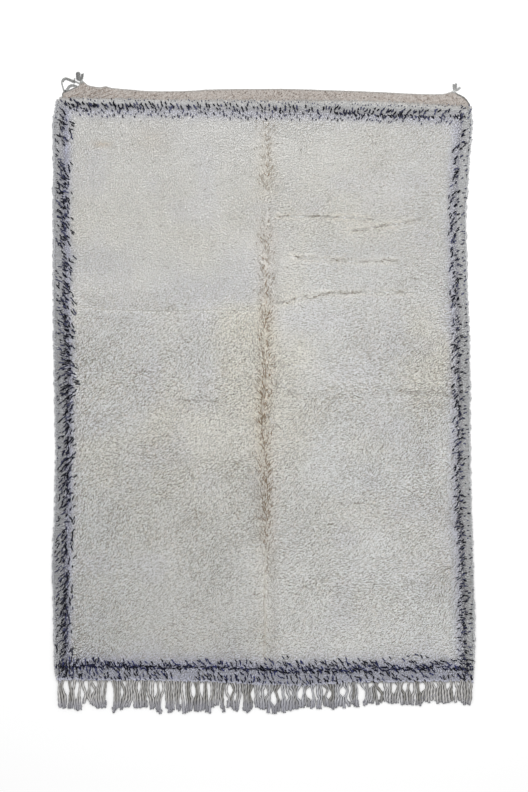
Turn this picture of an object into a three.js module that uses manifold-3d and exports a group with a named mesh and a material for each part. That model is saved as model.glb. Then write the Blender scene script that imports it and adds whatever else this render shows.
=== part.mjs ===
// A hand-knotted wool rug that lies flat: a long-pile slab with a flat-woven hem at one end, a fringe at
// the other, and the corner cords tied off at the hem.
// Units are millimetres. +X runs across the rug, +Y towards the hem, +Z is up, and the floor is at z = 0.
// While the pieces are made, y = 0 is the seam between the pile and the hem, x = 0 the middle of the rug.
import * as THREE from 'three';
import { mergeVertices } from 'three/addons/utils/BufferGeometryUtils.js';
import Module from 'manifold-3d';

const wasm = await Module();
wasm.setup();

// ---- Driving dimensions -------------------------------------------------------------------------------

const PILE_LENGTH = 2780;
const PILE_HEIGHT = 26;
const RIM_HEIGHT = 13;
const SEAM_HEIGHT = 9;
const RIM_SLOPE_WIDTH = 46;
const SEAM_SLOPE_WIDTH = 34;
const PIECE_GAP = 0.3;

const COLUMNS = 36;
const ROWS = 50;
const MIDDLE_CROWDING = 0.42;      // how much closer the columns stand at the parting and at the rims

const HEM_THICKNESS = 5;
const HEM_BEVEL = 1;
const HEM_TUCK = 18;               // how far the hem runs in under the first rows of pile

const STRIP_DEPTH = 10;
const STRIP_HEIGHT = 5.6;
const STRAND_WIDTH = 9.5;
const STRAND_TIP_WIDTH = 8;
const STRAND_HEIGHT = 6;
const STRAND_INSET = 9;            // how far the outermost strands stand inside the strip's ends
const STRAND_SWAY = 1.5;
const GATHER = 0.75;               // spacing of a bunch's tips, as a share of the spacing of its roots
const BUNCH_DRIFT = 9;
const END_SPREAD = 7;

const CORD_DIAMETER = 6;
const CORD_SIDES = 8;

// The pile's two sides: distance below the seam, and how far each side stands from the middle.
const SIDES = [
  { down: 0, left: 978, right: 966 },
  { down: 110, left: 996, right: 990 },
  { down: 300, left: 992, right: 974 },
  { down: 560, left: 993, right: 957 },
  { down: 900, left: 993, right: 970 },
  { down: 1300, left: 988, right: 982 },
  { down: 1650, left: 981, right: 981 },
  { down: 1950, left: 985, right: 985 },
  { down: 2200, left: 998, right: 998 },
  { down: 2480, left: 991, right: 1006 },
  { down: 2700, left: 988, right: 1001 },
  { down: 2800, left: 972, right: 996 },
];

// The seam, where the first row of knots stands on the flat weave.
const SEAM = [
  { across: -990, up: 12 },
  { across: -740, up: 8 },
  { across: -390, up: 2 },
  { across: 40, up: -1 },
  { across: 330, up: 0 },
  { across: 560, up: -5 },
  { across: 890, up: -23 },
  { across: 990, up: -28 },
];

// The pile's lower edge.
const LOWER_EDGE = [
  { across: -990, up: -2760 },
  { across: -560, up: -2762 },
  { across: -250, up: -2768 },
  { across: 0, up: -2782 },
  { across: 180, up: -2788 },
  { across: 420, up: -2772 },
  { across: 1010, up: -2764 },
];

// The hem's outer edge from the left corner to the right one, with the two places that the ties draw out.
const HEM_EDGE = [
  { across: -954, up: 10 },
  { across: -953, up: 37 },
  { across: -941, up: 39 },
  { across: -914, up: 51 },
  { across: -895, up: 60 },
  { across: -876, up: 70 },
  { across: -866, up: 90 },
  { across: -853, up: 88 },
  { across: -840, up: 73 },
  { across: -823, up: 62 },
  { across: -778, up: 55 },
  { across: -747, up: 65 },
  { across: -718, up: 55 },
  { across: -632, up: 50 },
  { across: -537, up: 43 },
  { across: -370, up: 43 },
  { across: -260, up: 50 },
  { across: -107, up: 53 },
  { across: 131, up: 53 },
  { across: 322, up: 47 },
  { across: 522, up: 40 },
  { across: 700, up: 31 },
  { across: 847, up: 28 },
  { across: 892, up: 36 },
  { across: 908, up: 42 },
  { across: 917, up: 38 },
  { across: 932, up: 26 },
  { across: 953, up: 10 },
  { across: 963, up: -8 },
  { across: 964, up: -22 },
];

// Creases: soft troughs pressed into the pile, each along a line of places (across, down).
const CREASES = [
  { depth: 9, width: 26, line: [[8, 30], [14, 500], [10, 1100], [16, 1700], [8, 2300], [12, 2740]] },
  { depth: 7, width: 24, line: [[74, 553], [300, 556], [513, 568]] },
  { depth: 6, width: 24, line: [[422, 625], [661, 591], [718, 577]] },
  { depth: 7, width: 26, line: [[150, 749], [408, 768], [640, 768]] },
  { depth: 7, width: 24, line: [[60, 968], [327, 921], [499, 916], [718, 916]] },
  { depth: 4, width: 40, line: [[-894, 985], [-500, 1004], [-40, 1000]] },
];

// Soft unevenness of the pile: size of the humps, and how high they stand.
const HUMPS = [
  { size: 340, rise: 2.2, seed: 11 },
  { size: 170, rise: 2.2, seed: 23 },
  { size: 95, rise: 1.8, seed: 37 },
];

// The fringe's bunches from left to right: how many strands hang together, how far down the first and the
// last of them end, and how much further down the middle ones do.
const BUNCHES = [
  { strands: 3, leftEnd: 2897, rightEnd: 2899, middleMore: 12 },
  { strands: 5, leftEnd: 2902, rightEnd: 2906, middleMore: 6 },
  { strands: 9, leftEnd: 2882, rightEnd: 2900, middleMore: 16 },
  { strands: 13, leftEnd: 2922, rightEnd: 2900, middleMore: -6 },
  { strands: 5, leftEnd: 2906, rightEnd: 2922, middleMore: -4 },
  { strands: 6, leftEnd: 2908, rightEnd: 2918, middleMore: 0 },
  { strands: 9, leftEnd: 2926, rightEnd: 2920, middleMore: -6 },
  { strands: 6, leftEnd: 2922, rightEnd: 2910, middleMore: -30 },
  { strands: 6, leftEnd: 2900, rightEnd: 2922, middleMore: 0 },
  { strands: 8, leftEnd: 2924, rightEnd: 2908, middleMore: -8 },
  { strands: 4, leftEnd: 2929, rightEnd: 2914, middleMore: 0 },
  { strands: 8, leftEnd: 2920, rightEnd: 2897, middleMore: 0 },
  { strands: 15, leftEnd: 2893, rightEnd: 2898, middleMore: 8 },
  { strands: 4, leftEnd: 2892, rightEnd: 2894, middleMore: 4 },
  { strands: 6, leftEnd: 2890, rightEnd: 2884, middleMore: 0 },
  { strands: 12, leftEnd: 2876, rightEnd: 2884, middleMore: 2 },
  { strands: 7, leftEnd: 2886, rightEnd: 2866, middleMore: -4 },
  { strands: 6, leftEnd: 2876, rightEnd: 2866, middleMore: 6 },
  { strands: 6, leftEnd: 2868, rightEnd: 2892, middleMore: -2 },
];

// Locks of pile that reach past each rim.
const LOCK_ROWS = [
  { rim: 'left', count: 54, reach: 14, lift: 0 },
  { rim: 'right', count: 54, reach: 14, lift: 0 },
  { rim: 'lower', count: 32, reach: 12, lift: 6.2 },
];
const LOCK_WIDTH = 42;
const LOCK_HEIGHT = 11;            // below the rim's edge, so that a lock grows out of the slab's side
const LOCK_ROOT_DEPTH = 24;
const LOCK_SLANT = 0.55;           // how much the locks lean towards the lower end

// The free cord at the left corner: a large loop outside and a small one inside it.
const OUTER_LOOP = [
  [-947, 38.4], [-948, 45], [-950.5, 54], [-954.5, 68], [-957.5, 82], [-956.5, 94.5], [-949.5, 103.5],
  [-938.5, 106.5], [-927, 103.5], [-915.5, 99], [-904, 94], [-893.5, 89.3], [-884, 85], [-878, 82.4],
  [-872.5, 80.2],
];
const INNER_LOOP = [
  [-934.5, 43.6], [-934.7, 48], [-932.5, 56.5], [-927.5, 64.5], [-919.5, 71], [-909.5, 74],
  [-899, 72.9], [-891.5, 69.8], [-886.3, 66.9],
];

// ---- Small helpers ------------------------------------------------------------------------------------

const clamp01 = (value) => Math.min(Math.max(value, 0), 1);
const smooth = (value) => clamp01(value) ** 2 * (3 - 2 * clamp01(value));
const mix = (from, to, share) => from + (to - from) * share;

// The value of a column of a short table at a place between its rows.
function fromTable(rows, key, column, place) {
  const next = rows.findIndex((row) => row[key] >= place);
  if (next === 0) return rows[0][column];
  if (next < 0) return rows[rows.length - 1][column];
  const before = rows[next - 1];
  const after = rows[next];
  return mix(before[column], after[column], (place - before[key]) / (after[key] - before[key]));
}

// A fixed number from 0 to 1 for each whole-number place, the same each time.
function chance(i, j, seed) {
  const mixed = Math.sin(i * 127.1 + j * 311.7 + seed * 74.7) * 43758.5453;
  return mixed - Math.floor(mixed);
}

// Soft humps of a given size, from -1 to 1.
function hump(x, y, size, seed) {
  const i = Math.floor(x / size);
  const j = Math.floor(y / size);
  const shareX = smooth(x / size - i);
  const shareY = smooth(y / size - j);
  const near = mix(chance(i, j, seed), chance(i + 1, j, seed), shareX);
  const far = mix(chance(i, j + 1, seed), chance(i + 1, j + 1, seed), shareX);
  return 2 * mix(near, far, shareY) - 1;
}

// Distance from a place to a line of places.
function distanceToLine(x, y, line) {
  let nearest = Infinity;
  for (let i = 0; i + 1 < line.length; i += 1) {
    const [fromX, fromY] = [line[i][0], -line[i][1]];
    const [toX, toY] = [line[i + 1][0], -line[i + 1][1]];
    const length2 = (toX - fromX) ** 2 + (toY - fromY) ** 2;
    const share = clamp01(((x - fromX) * (toX - fromX) + (y - fromY) * (toY - fromY)) / length2);
    const distance = Math.hypot(x - mix(fromX, toX, share), y - mix(fromY, toY, share));
    nearest = Math.min(nearest, distance);
  }
  return nearest;
}

function toSolid(geometry) {
  geometry.deleteAttribute('normal');
  geometry.deleteAttribute('uv');
  const merged = mergeVertices(geometry, 1e-4);
  const vertProperties = new Float32Array(merged.attributes.position.array);
  const triVerts = new Uint32Array(merged.index.array);
  return new wasm.Manifold(new wasm.Mesh({ numProp: 3, vertProperties, triVerts }));
}

function toGeometry(solid) {
  const mesh = solid.getMesh();
  const geometry = new THREE.BufferGeometry();
  geometry.setAttribute('position', new THREE.BufferAttribute(new Float32Array(mesh.vertProperties), 3));
  geometry.setIndex(new THREE.BufferAttribute(new Uint32Array(mesh.triVerts), 1));
  geometry.computeVertexNormals();
  return geometry;
}

function joined(geometries) {
  return toGeometry(geometries.map(toSolid).reduce((whole, piece) => whole.add(piece)));
}

// A closed solid through rings of points, all rings alike in number and turning the same way.
function loft(rings) {
  const sides = rings[0].length;
  const points = rings.flat();
  const faces = [];
  for (let ring = 0; ring + 1 < rings.length; ring += 1) {
    for (let side = 0; side < sides; side += 1) {
      const a = ring * sides + side;
      const b = ring * sides + ((side + 1) % sides);
      faces.push(a, b, b + sides, a, b + sides, a + sides);
    }
  }
  const last = (rings.length - 1) * sides;
  for (let side = 1; side + 1 < sides; side += 1) {
    faces.push(0, side + 1, side);
    faces.push(last, last + side, last + side + 1);
  }
  const geometry = new THREE.BufferGeometry();
  geometry.setAttribute('position', new THREE.Float32BufferAttribute(points.flat(), 3));
  geometry.setIndex(faces);
  return geometry;
}

// One three-sided lock or strand with a flat underside: its sections run along a line of places.
function lock(sections) {
  const rings = sections.map((section, index) => {
    const before = sections[Math.max(index - 1, 0)];
    const after = sections[Math.min(index + 1, sections.length - 1)];
    const length = Math.hypot(after.x - before.x, after.y - before.y);
    const sideX = (-(after.y - before.y) / length) * (section.width / 2);
    const sideY = ((after.x - before.x) / length) * (section.width / 2);
    return [
      [section.x + sideX, section.y + sideY, section.bottom],
      [section.x, section.y, section.top],
      [section.x - sideX, section.y - sideY, section.bottom],
    ];
  });
  return loft(rings);
}

// ---- The pile slab ------------------------------------------------------------------------------------

const seamAt = (x) => fromTable(SEAM, 'across', 'up', x);
const lowerEdgeAt = (x) => fromTable(LOWER_EDGE, 'across', 'up', x);
const leftAt = (y) => -fromTable(SIDES, 'down', 'left', -y);
const rightAt = (y) => fromTable(SIDES, 'down', 'right', -y);

// Columns stand closer together at the middle parting and at both rims.
const crowd = (share) => share - (MIDDLE_CROWDING * Math.sin(4 * Math.PI * share)) / (4 * Math.PI);

function slabPlace(columnShare, rowShare) {
  const y = -rowShare * PILE_LENGTH;
  const x = mix(leftAt(y), rightAt(y), crowd(columnShare));
  return [x, mix(seamAt(x), lowerEdgeAt(x), rowShare)];
}

function pileHeight(x, y) {
  let height = PILE_HEIGHT;
  for (const { size, rise, seed } of HUMPS) height += rise * hump(x, y, size, seed);
  for (const { depth, width, line } of CREASES) {
    height -= depth * Math.exp(-((distanceToLine(x, y, line) / width) ** 2));
  }
  const fromSide = Math.min(x - leftAt(y), rightAt(y) - x, y - lowerEdgeAt(x));
  const fromSeam = seamAt(x) - y;
  const sideHeight = mix(RIM_HEIGHT, height, smooth(fromSide / RIM_SLOPE_WIDTH));
  return mix(Math.min(SEAM_HEIGHT, sideHeight), sideHeight, smooth(fromSeam / SEAM_SLOPE_WIDTH));
}

function pileSlab() {
  const points = [];
  for (let row = 0; row <= ROWS; row += 1) {
    for (let column = 0; column <= COLUMNS; column += 1) {
      const [x, y] = slabPlace(column / COLUMNS, row / ROWS);
      points.push([x, y, pileHeight(x, y)]);
    }
  }
  const at = (column, row) => row * (COLUMNS + 1) + column;
  const faces = [];
  for (let row = 0; row < ROWS; row += 1) {
    for (let column = 0; column < COLUMNS; column += 1) {
      const [a, b] = [at(column, row), at(column + 1, row)];
      const [c, d] = [at(column + 1, row + 1), at(column, row + 1)];
      faces.push(a, d, c, a, c, b);
    }
  }
  const rim = [];
  for (let row = 0; row < ROWS; row += 1) rim.push(at(0, row));
  for (let column = 0; column < COLUMNS; column += 1) rim.push(at(column, ROWS));
  for (let row = ROWS; row > 0; row -= 1) rim.push(at(COLUMNS, row));
  for (let column = COLUMNS; column > 0; column -= 1) rim.push(at(column, 0));
  const foot = points.length;
  rim.forEach((index) => points.push([points[index][0], points[index][1], 0]));
  const centre = points.length;
  points.push([0, -PILE_LENGTH / 2, 0]);
  rim.forEach((index, i) => {
    const next = (i + 1) % rim.length;
    faces.push(index, foot + i, foot + next, index, foot + next, rim[next]);
    faces.push(centre, foot + next, foot + i);
  });
  const geometry = new THREE.BufferGeometry();
  geometry.setAttribute('position', new THREE.Float32BufferAttribute(points.flat(), 3));
  geometry.setIndex(faces);
  return geometry;
}

// ---- The hem ------------------------------------------------------------------------------------------

function hemPlate() {
  const outline = HEM_EDGE.map(({ across, up }) => new THREE.Vector2(across, up));
  const inner = [...SEAM].reverse();
  const leftEnd = HEM_EDGE[0].across;
  const rightEnd = HEM_EDGE[HEM_EDGE.length - 1].across;
  inner.forEach(({ across, up }) => {
    const x = Math.min(Math.max(across, leftEnd), rightEnd - HEM_TUCK);
    outline.push(new THREE.Vector2(x, up - HEM_TUCK));
  });
  return new THREE.ExtrudeGeometry(new THREE.Shape(outline.reverse()), {
    depth: HEM_THICKNESS - 2 * HEM_BEVEL,
    bevelThickness: HEM_BEVEL,
    bevelSize: HEM_BEVEL,
    bevelOffset: -HEM_BEVEL,
    bevelSegments: 1,
  }).translate(0, 0, HEM_BEVEL);
}

// ---- Locks at the rim ---------------------------------------------------------------------------------

function rimPlace(rim, share) {
  if (rim === 'lower') {
    const x = mix(leftAt(-PILE_LENGTH), rightAt(-PILE_LENGTH), share);
    return { x, y: lowerEdgeAt(x), outX: 0, outY: -1 };
  }
  const y = mix(0, -PILE_LENGTH, share);
  const side = rim === 'left' ? -1 : 1;
  return { x: rim === 'left' ? leftAt(y) : rightAt(y), y, outX: side, outY: -LOCK_SLANT };
}

function rimLocks() {
  const locks = [];
  LOCK_ROWS.forEach(({ rim, count, reach, lift }, rowIndex) => {
    for (let index = 0; index < count; index += 1) {
      const share = (index + 0.5 + 0.5 * (chance(index, 1, rowIndex) - 0.5)) / count;
      const { x, y, outX, outY } = rimPlace(rim, mix(0.012, 0.988, share));
      const sway = 0.5 * (chance(index, 2, rowIndex) - 0.5);
      const length = Math.hypot(outX, outY);
      const dirX = outX / length - (outY / length) * sway;
      const dirY = outY / length + (outX / length) * sway;
      const far = reach * mix(0.6, 1.25, chance(index, 3, rowIndex));
      const width = LOCK_WIDTH * mix(0.75, 1.2, chance(index, 4, rowIndex));
      const top = LOCK_HEIGHT + 0.2 * lift - 1.5 * chance(index, 5, rowIndex);
      const place = (out) => ({ x: x + dirX * out, y: y + dirY * out });
      locks.push(lock([
        { ...place(-LOCK_ROOT_DEPTH), width: width * 0.6, bottom: lift + 1.5, top },
        { ...place(0), width, bottom: lift + 0.8, top },
        { ...place(far), width: width * 0.3, bottom: lift, top: lift + 3 },
      ]));
    }
  });
  return locks;
}

// ---- The fringe ---------------------------------------------------------------------------------------

function fringeStrip() {
  const edge = [];
  for (let column = 0; column <= COLUMNS; column += 1) edge.push(slabPlace(column / COLUMNS, 1));
  const outline = edge.map(([x, y]) => new THREE.Vector2(x, y - PIECE_GAP));
  edge.reverse().forEach(([x, y]) => outline.push(new THREE.Vector2(x, y - PIECE_GAP - STRIP_DEPTH)));
  return new THREE.ExtrudeGeometry(new THREE.Shape(outline.reverse()), {
    depth: STRIP_HEIGHT,
    bevelEnabled: false,
  });
}

function fringeStrands() {
  const total = BUNCHES.reduce((sum, { strands }) => sum + strands, 0);
  const left = leftAt(-PILE_LENGTH) + STRAND_INSET;
  const pitch = (rightAt(-PILE_LENGTH) - STRAND_INSET - left) / (total - 1);
  const locks = [];
  let first = 0;
  BUNCHES.forEach(({ strands, leftEnd, rightEnd, middleMore }, bunch) => {
    const middle = left + pitch * (first + (strands - 1) / 2) + BUNCH_DRIFT * (chance(bunch, 6, 1) - 0.5);
    for (let index = 0; index < strands; index += 1) {
      const number = first + index;
      const inBunch = index / (strands - 1);
      const rootX = left + pitch * number;
      const rootY = lowerEdgeAt(rootX) - PIECE_GAP - STRIP_DEPTH / 2;
      const tipX = middle + pitch * GATHER * (index - (strands - 1) / 2);
      const end = mix(leftEnd, rightEnd, inBunch) + middleMore * Math.sin(Math.PI * inBunch);
      const tipY = -end - END_SPREAD * (chance(number, 7, 2) - 0.5);
      const sway = STRAND_SWAY * (chance(number, 8, 3) - 0.5);
      const along = (share, turn) => ({
        x: mix(rootX, tipX, turn) + sway * Math.sin(Math.PI * share),
        y: mix(rootY, tipY, share),
      });
      locks.push(lock([
        { ...along(0, 0), width: STRAND_WIDTH - 2, bottom: 1, top: STRIP_HEIGHT - 1 },
        { ...along(0.55, 0.65), width: STRAND_WIDTH, bottom: 0, top: STRAND_HEIGHT },
        { ...along(1, 1), width: STRAND_TIP_WIDTH, bottom: 0, top: STRAND_HEIGHT - 1.5 },
      ]));
    }
    first += strands;
  });
  return locks;
}

// ---- The corner ties ----------------------------------------------------------------------------------

// A flattened round knot that rests on the floor.
function knotHead(x, y, radius, height) {
  const head = new THREE.IcosahedronGeometry(radius, 1);
  head.scale(1, 1, height / 2 / radius);
  return head.translate(x, y, height / 2);
}

// Loose yarn ends from a knot: each bends at one place and stops at another.
function yarnEnds(root, ends) {
  return ends.map(({ bendAcross, bendUp, across, up, width, height }) => lock([
    { x: root.across, y: root.up, width: width * 0.6, bottom: 1.5, top: height * 0.8 },
    { x: bendAcross, y: bendUp, width, bottom: 0, top: height },
    { x: across, y: up, width: width * 0.9, bottom: 0, top: height * 0.8 },
  ]));
}

const LEFT_KNOT = { across: -861.5, up: 96.2, radius: 7, height: 10 };
const LEFT_ENDS = [
  { bendAcross: -881, bendUp: 107, across: -888, up: 131, width: 5, height: 6 },
  { bendAcross: -878, bendUp: 109, across: -883, up: 134, width: 5, height: 7 },
  { bendAcross: -874.5, bendUp: 110, across: -877.5, up: 134.5, width: 5, height: 7 },
  { bendAcross: -871, bendUp: 109, across: -872, up: 132.5, width: 5, height: 6 },
  { bendAcross: -858, bendUp: 108, across: -856, up: 125, width: 5, height: 6 },
  { bendAcross: -854.5, bendUp: 106, across: -850, up: 122, width: 5, height: 6 },
];
const RIGHT_KNOT = { across: 915.4, up: 46.7, radius: 7, height: 10 };
const RIGHT_ENDS = [
  { bendAcross: 915, bendUp: 60, across: 915.5, up: 76, width: 9, height: 9 },
  { bendAcross: 920, bendUp: 60, across: 924.5, up: 78, width: 9, height: 9 },
  { bendAcross: 929, bendUp: 51, across: 942, up: 60, width: 10, height: 8 },
];

function tassel(knot, ends) {
  return joined([knotHead(knot.across, knot.up, knot.radius, knot.height), ...yarnEnds(knot, ends)]);
}

// ---- The free cords -----------------------------------------------------------------------------------

function cord(places) {
  const height = CORD_DIAMETER / 2 + PIECE_GAP;
  const path = new THREE.CatmullRomCurve3(places.map(([x, y]) => new THREE.Vector3(x, y, height)));
  const section = new THREE.Shape();
  for (let side = 0; side < CORD_SIDES; side += 1) {
    const angle = ((side + 0.5) / CORD_SIDES) * 2 * Math.PI;
    const [x, y] = [Math.cos(angle) * CORD_DIAMETER / 2, Math.sin(angle) * CORD_DIAMETER / 2];
    if (side === 0) section.moveTo(x, y);
    else section.lineTo(x, y);
  }
  section.closePath();
  const steps = Math.round(path.getLength() / (2 * CORD_DIAMETER));
  return new THREE.ExtrudeGeometry(section, { steps, extrudePath: path, bevelEnabled: false });
}

// ---- The rug ------------------------------------------------------------------------------------------

const ivoryWool = new THREE.MeshStandardMaterial({ color: '#c9c6bf', roughness: 0.95, metalness: 0 });
const warpWool = new THREE.MeshStandardMaterial({ color: '#9b9892', roughness: 0.9, metalness: 0 });
const cordWool = new THREE.MeshStandardMaterial({ color: '#8f8c86', roughness: 0.9, metalness: 0 });

const rug = new THREE.Group();

function addPiece(name, geometry, material) {
  const mesh = new THREE.Mesh(geometry, material);
  mesh.name = name;
  rug.add(mesh);
  return mesh;
}

addPiece('rug', joined([pileSlab(), hemPlate(), ...rimLocks()]), ivoryWool);
addPiece('fringe', joined([fringeStrip(), ...fringeStrands()]), warpWool);
addPiece('tassel_left', tassel(LEFT_KNOT, LEFT_ENDS), cordWool);
addPiece('tassel_right', tassel(RIGHT_KNOT, RIGHT_ENDS), cordWool);

// The origin is under the middle of the rug with its fringe and tassels, at floor level.
const box = new THREE.Box3().setFromObject(rug, true);
const middle = box.getCenter(new THREE.Vector3());

addPiece('loop_outer', cord(OUTER_LOOP), cordWool);
addPiece('loop_inner', cord(INNER_LOOP), cordWool);
rug.position.set(-middle.x, -middle.y, 0);

export default rug;
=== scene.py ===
"""A hand-knotted long-pile wool rug on a pale floor, seen from straight above.

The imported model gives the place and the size. Lengths in this script are millimetres in the rug's own
frame: x = 0 is the middle of the rug, y = 0 the seam between the pile and the hem, +Y runs towards the
hem, and z = 0 is the floor. row_frame() turns such points into metres in the shared frame.
Colours are named sRGB triplets from 0 to 255 and are turned into linear light where they are used.
"""

import bpy
import numpy as np
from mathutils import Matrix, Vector


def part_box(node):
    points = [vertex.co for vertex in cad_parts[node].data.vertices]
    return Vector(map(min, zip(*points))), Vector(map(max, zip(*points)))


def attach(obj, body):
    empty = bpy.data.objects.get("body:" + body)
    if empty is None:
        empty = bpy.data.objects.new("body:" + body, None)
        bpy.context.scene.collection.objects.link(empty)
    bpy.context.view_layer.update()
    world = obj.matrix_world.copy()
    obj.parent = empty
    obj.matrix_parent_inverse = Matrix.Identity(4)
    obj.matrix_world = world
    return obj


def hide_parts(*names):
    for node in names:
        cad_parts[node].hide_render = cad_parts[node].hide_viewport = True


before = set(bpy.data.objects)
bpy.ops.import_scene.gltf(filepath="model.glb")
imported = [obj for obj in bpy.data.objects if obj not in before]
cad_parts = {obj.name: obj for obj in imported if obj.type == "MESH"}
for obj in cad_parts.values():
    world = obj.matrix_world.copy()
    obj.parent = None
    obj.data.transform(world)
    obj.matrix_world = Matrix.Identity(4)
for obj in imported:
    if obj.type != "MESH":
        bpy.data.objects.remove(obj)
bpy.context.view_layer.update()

# ---- Sizes ------------------------------------------------------------------------------------------

MM = 0.001
PIXEL = 4.77                # one pixel of the photograph on the rug
PHOTO_MIDDLE = 262.5        # the pixel column of x = 0
PHOTO_SEAM = 100.0          # the pixel row of y = 0

HEM_TOP = 90.0              # how far the hem's highest point stands above the seam
STRIP_LEFT = 975.2          # how far the fringe's strip reaches to the left

PILE_LENGTH = 2780.0
PILE_HEIGHT = 26.0
RIM_HEIGHT = 13.0
SEAM_HEIGHT = 9.0
RIM_SLOPE_WIDTH = 46.0
SEAM_SLOPE_WIDTH = 34.0
HEM_THICKNESS = 5.0
HEM_TUCK = 18.0
CORD_DIAMETER = 6.0
FLOOR_GAP = 0.2             # nothing of the yarns and the hem comes nearer to the floor

# The pile's sides: distance below the seam, reach to the left, reach to the right.
SIDES = np.array([
    (0, 976, 980), (30, 982, 990), (110, 996, 996), (300, 992, 981), (560, 993, 965), (900, 993, 973),
    (1300, 988, 986), (1650, 981, 985), (1950, 985, 992), (2200, 998, 1000), (2480, 991, 1008),
    (2700, 988, 1005), (2800, 972, 1000),
])
# The seam and the pile's lower edge: across, up.
SEAM = np.array([(-990, 12), (-740, 8), (-390, 2), (40, -1), (330, 0), (560, -5), (890, -23), (990, -28)])
LOWER_EDGE = np.array([
    (-990, -2760), (-560, -2762), (-250, -2768), (0, -2782), (180, -2788), (420, -2772), (1010, -2764),
])
# The hem's outer edge: across, up.
HEM_EDGE = np.array([
    (-954, 10), (-953, 37), (-941, 39), (-914, 51), (-895, 60), (-876, 70), (-866, 90), (-853, 88),
    (-840, 76), (-823, 68), (-778, 61), (-747, 66), (-718, 58), (-632, 50), (-537, 43), (-370, 43),
    (-260, 50), (-107, 53), (131, 53), (322, 47), (522, 40), (700, 31), (847, 28), (892, 36), (908, 42),
    (917, 38), (932, 28), (947, 21), (961, 13), (975, -2), (984, -16), (986, -28),
])
# Creases pressed into the pile: depth, width, and the line they follow (across, down).
CREASES = [
    (3, 44, [(8, 30), (14, 500), (10, 1100), (16, 1700), (8, 2300), (12, 2740)]),
    (7, 24, [(74, 553), (300, 556), (513, 568)]),
    (6, 24, [(422, 625), (661, 591), (718, 577)]),
    (7, 26, [(150, 749), (408, 768), (640, 768)]),
    (7, 24, [(60, 968), (327, 921), (499, 916), (718, 916)]),
    (4, 40, [(-894, 985), (-500, 1004), (-40, 1000)]),
]
CROSS_CREASES = CREASES[1:5]
DEEPEST_CREASE = 7.0
# Soft unevenness of the pile: size of the humps, how high they stand, seed.
HUMPS = [(340, 2.2, 11), (170, 2.2, 23), (95, 1.8, 37)]

# The fringe's bunches from left to right: strands, how far down the first and the last strand reach, and how
# much further the middle ones do.
BUNCHES = [
    (3, 2897, 2899, 12), (5, 2902, 2906, 6), (9, 2882, 2900, 16), (13, 2922, 2900, -6), (5, 2906, 2922, -4),
    (6, 2908, 2918, 0), (9, 2926, 2920, -6), (6, 2922, 2910, -30), (6, 2900, 2922, 0), (8, 2924, 2908, -8),
    (4, 2929, 2914, 0), (8, 2920, 2897, 0), (15, 2893, 2898, 8), (4, 2892, 2894, 4), (6, 2890, 2884, 0),
    (12, 2876, 2884, 2), (7, 2886, 2866, -4), (6, 2876, 2866, 6), (6, 2868, 2892, -2),
]

# The free cord at the left corner: a large loop outside and a small one inside it (across, up).
OUTER_LOOP = [
    (-947, 38.4), (-948, 45), (-950.5, 54), (-954.5, 68), (-957.5, 82), (-956.5, 94.5), (-949.5, 103.5),
    (-938.5, 106.5), (-927, 103.5), (-915.5, 99), (-904, 94), (-893.5, 89.3), (-884, 85), (-878, 82.4),
    (-872.5, 80.2),
]
INNER_LOOP = [
    (-934.5, 43.6), (-934.7, 48), (-932.5, 56.5), (-927.5, 64.5), (-919.5, 71), (-909.5, 74),
    (-899, 72.9), (-891.5, 69.8), (-886.3, 66.9),
]
LEFT_KNOT = (-866.0, 97.0)
RIGHT_KNOT = (915.4, 46.7)
# The ties' loose yarn ends: the bend (across, up), the tip (across, up), the yarns side by side.
LEFT_ENDS = [
    ((-885, 101), (-888, 131), 1), ((-880, 99), (-883, 134), 1), ((-875.5, 98), (-877.5, 134), 1),
    ((-871, 98), (-872, 131), 1), ((-864, 106), (-862, 124), 1), ((-859, 104), (-855.5, 127), 1),
]
RIGHT_ENDS = [((913, 58), (912, 76), 2), ((921, 58), (924.5, 78.5), 2), ((930, 50), (943, 61), 2)]
# Yarns that lie against the two loops' upper parts, their places across and up.
LOOP_MATES = [
    [(-951, 88), (-947.5, 95.5), (-938.5, 99.8), (-928.5, 97.2), (-917.5, 92.6), (-906.5, 87.6), (-896, 83)],
    [(-928.6, 46), (-927, 52), (-922.6, 59), (-916.4, 64.4), (-908.5, 67.4), (-899.5, 66.4), (-891, 63)],
    [(-899, 93), (-898, 99), (-896.5, 104)],
]
LOOP_NODES = [(-898.5, 91.5), (-941.5, 45.5)]

# ---- Small helpers ----------------------------------------------------------------------------------

shift_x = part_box("fringe")[0].x + STRIP_LEFT * MM
shift_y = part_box("rug")[1].y - HEM_TOP * MM


def row_frame(points):
    """Points in the rug's own millimetres, as metres in the shared frame."""
    return np.asarray(points, float) * MM + np.array([shift_x, shift_y, 0.0])


def from_photo(u, v):
    """A pixel of the photograph, as a place on the rug."""
    return (u - PHOTO_MIDDLE) * PIXEL, (PHOTO_SEAM - v) * PIXEL


def linear(colour):
    """An sRGB triplet from 0 to 255 as linear light."""
    share = np.asarray(colour, float) / 255.0
    return np.where(share <= 0.04045, share / 12.92, ((share + 0.055) / 1.055) ** 2.4)


def smooth(value):
    """0 below 0 and 1 above 1, with a soft rise between them."""
    value = np.clip(value, 0.0, 1.0)
    return value * value * (3.0 - 2.0 * value)


def mix(start, end, share):
    """The start for a share of 0, the end for a share of 1."""
    return start + (end - start) * share


def bell(value, width):
    """1 where a value is 0, falling to about a third where it is as far off as the width."""
    return np.exp(-((value / width) ** 2))


def column(table, place, index=1):
    """One column of a table, at places along its first column."""
    return np.interp(place, table[:, 0], table[:, index])


def chance(i, j, seed):
    """A fixed number from 0 to 1 for each whole-number place; every use has a seed of its own."""
    mixed = np.sin(i * 127.1 + j * 311.7 + seed * 74.7) * 43758.5453
    return mixed - np.floor(mixed)


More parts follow.
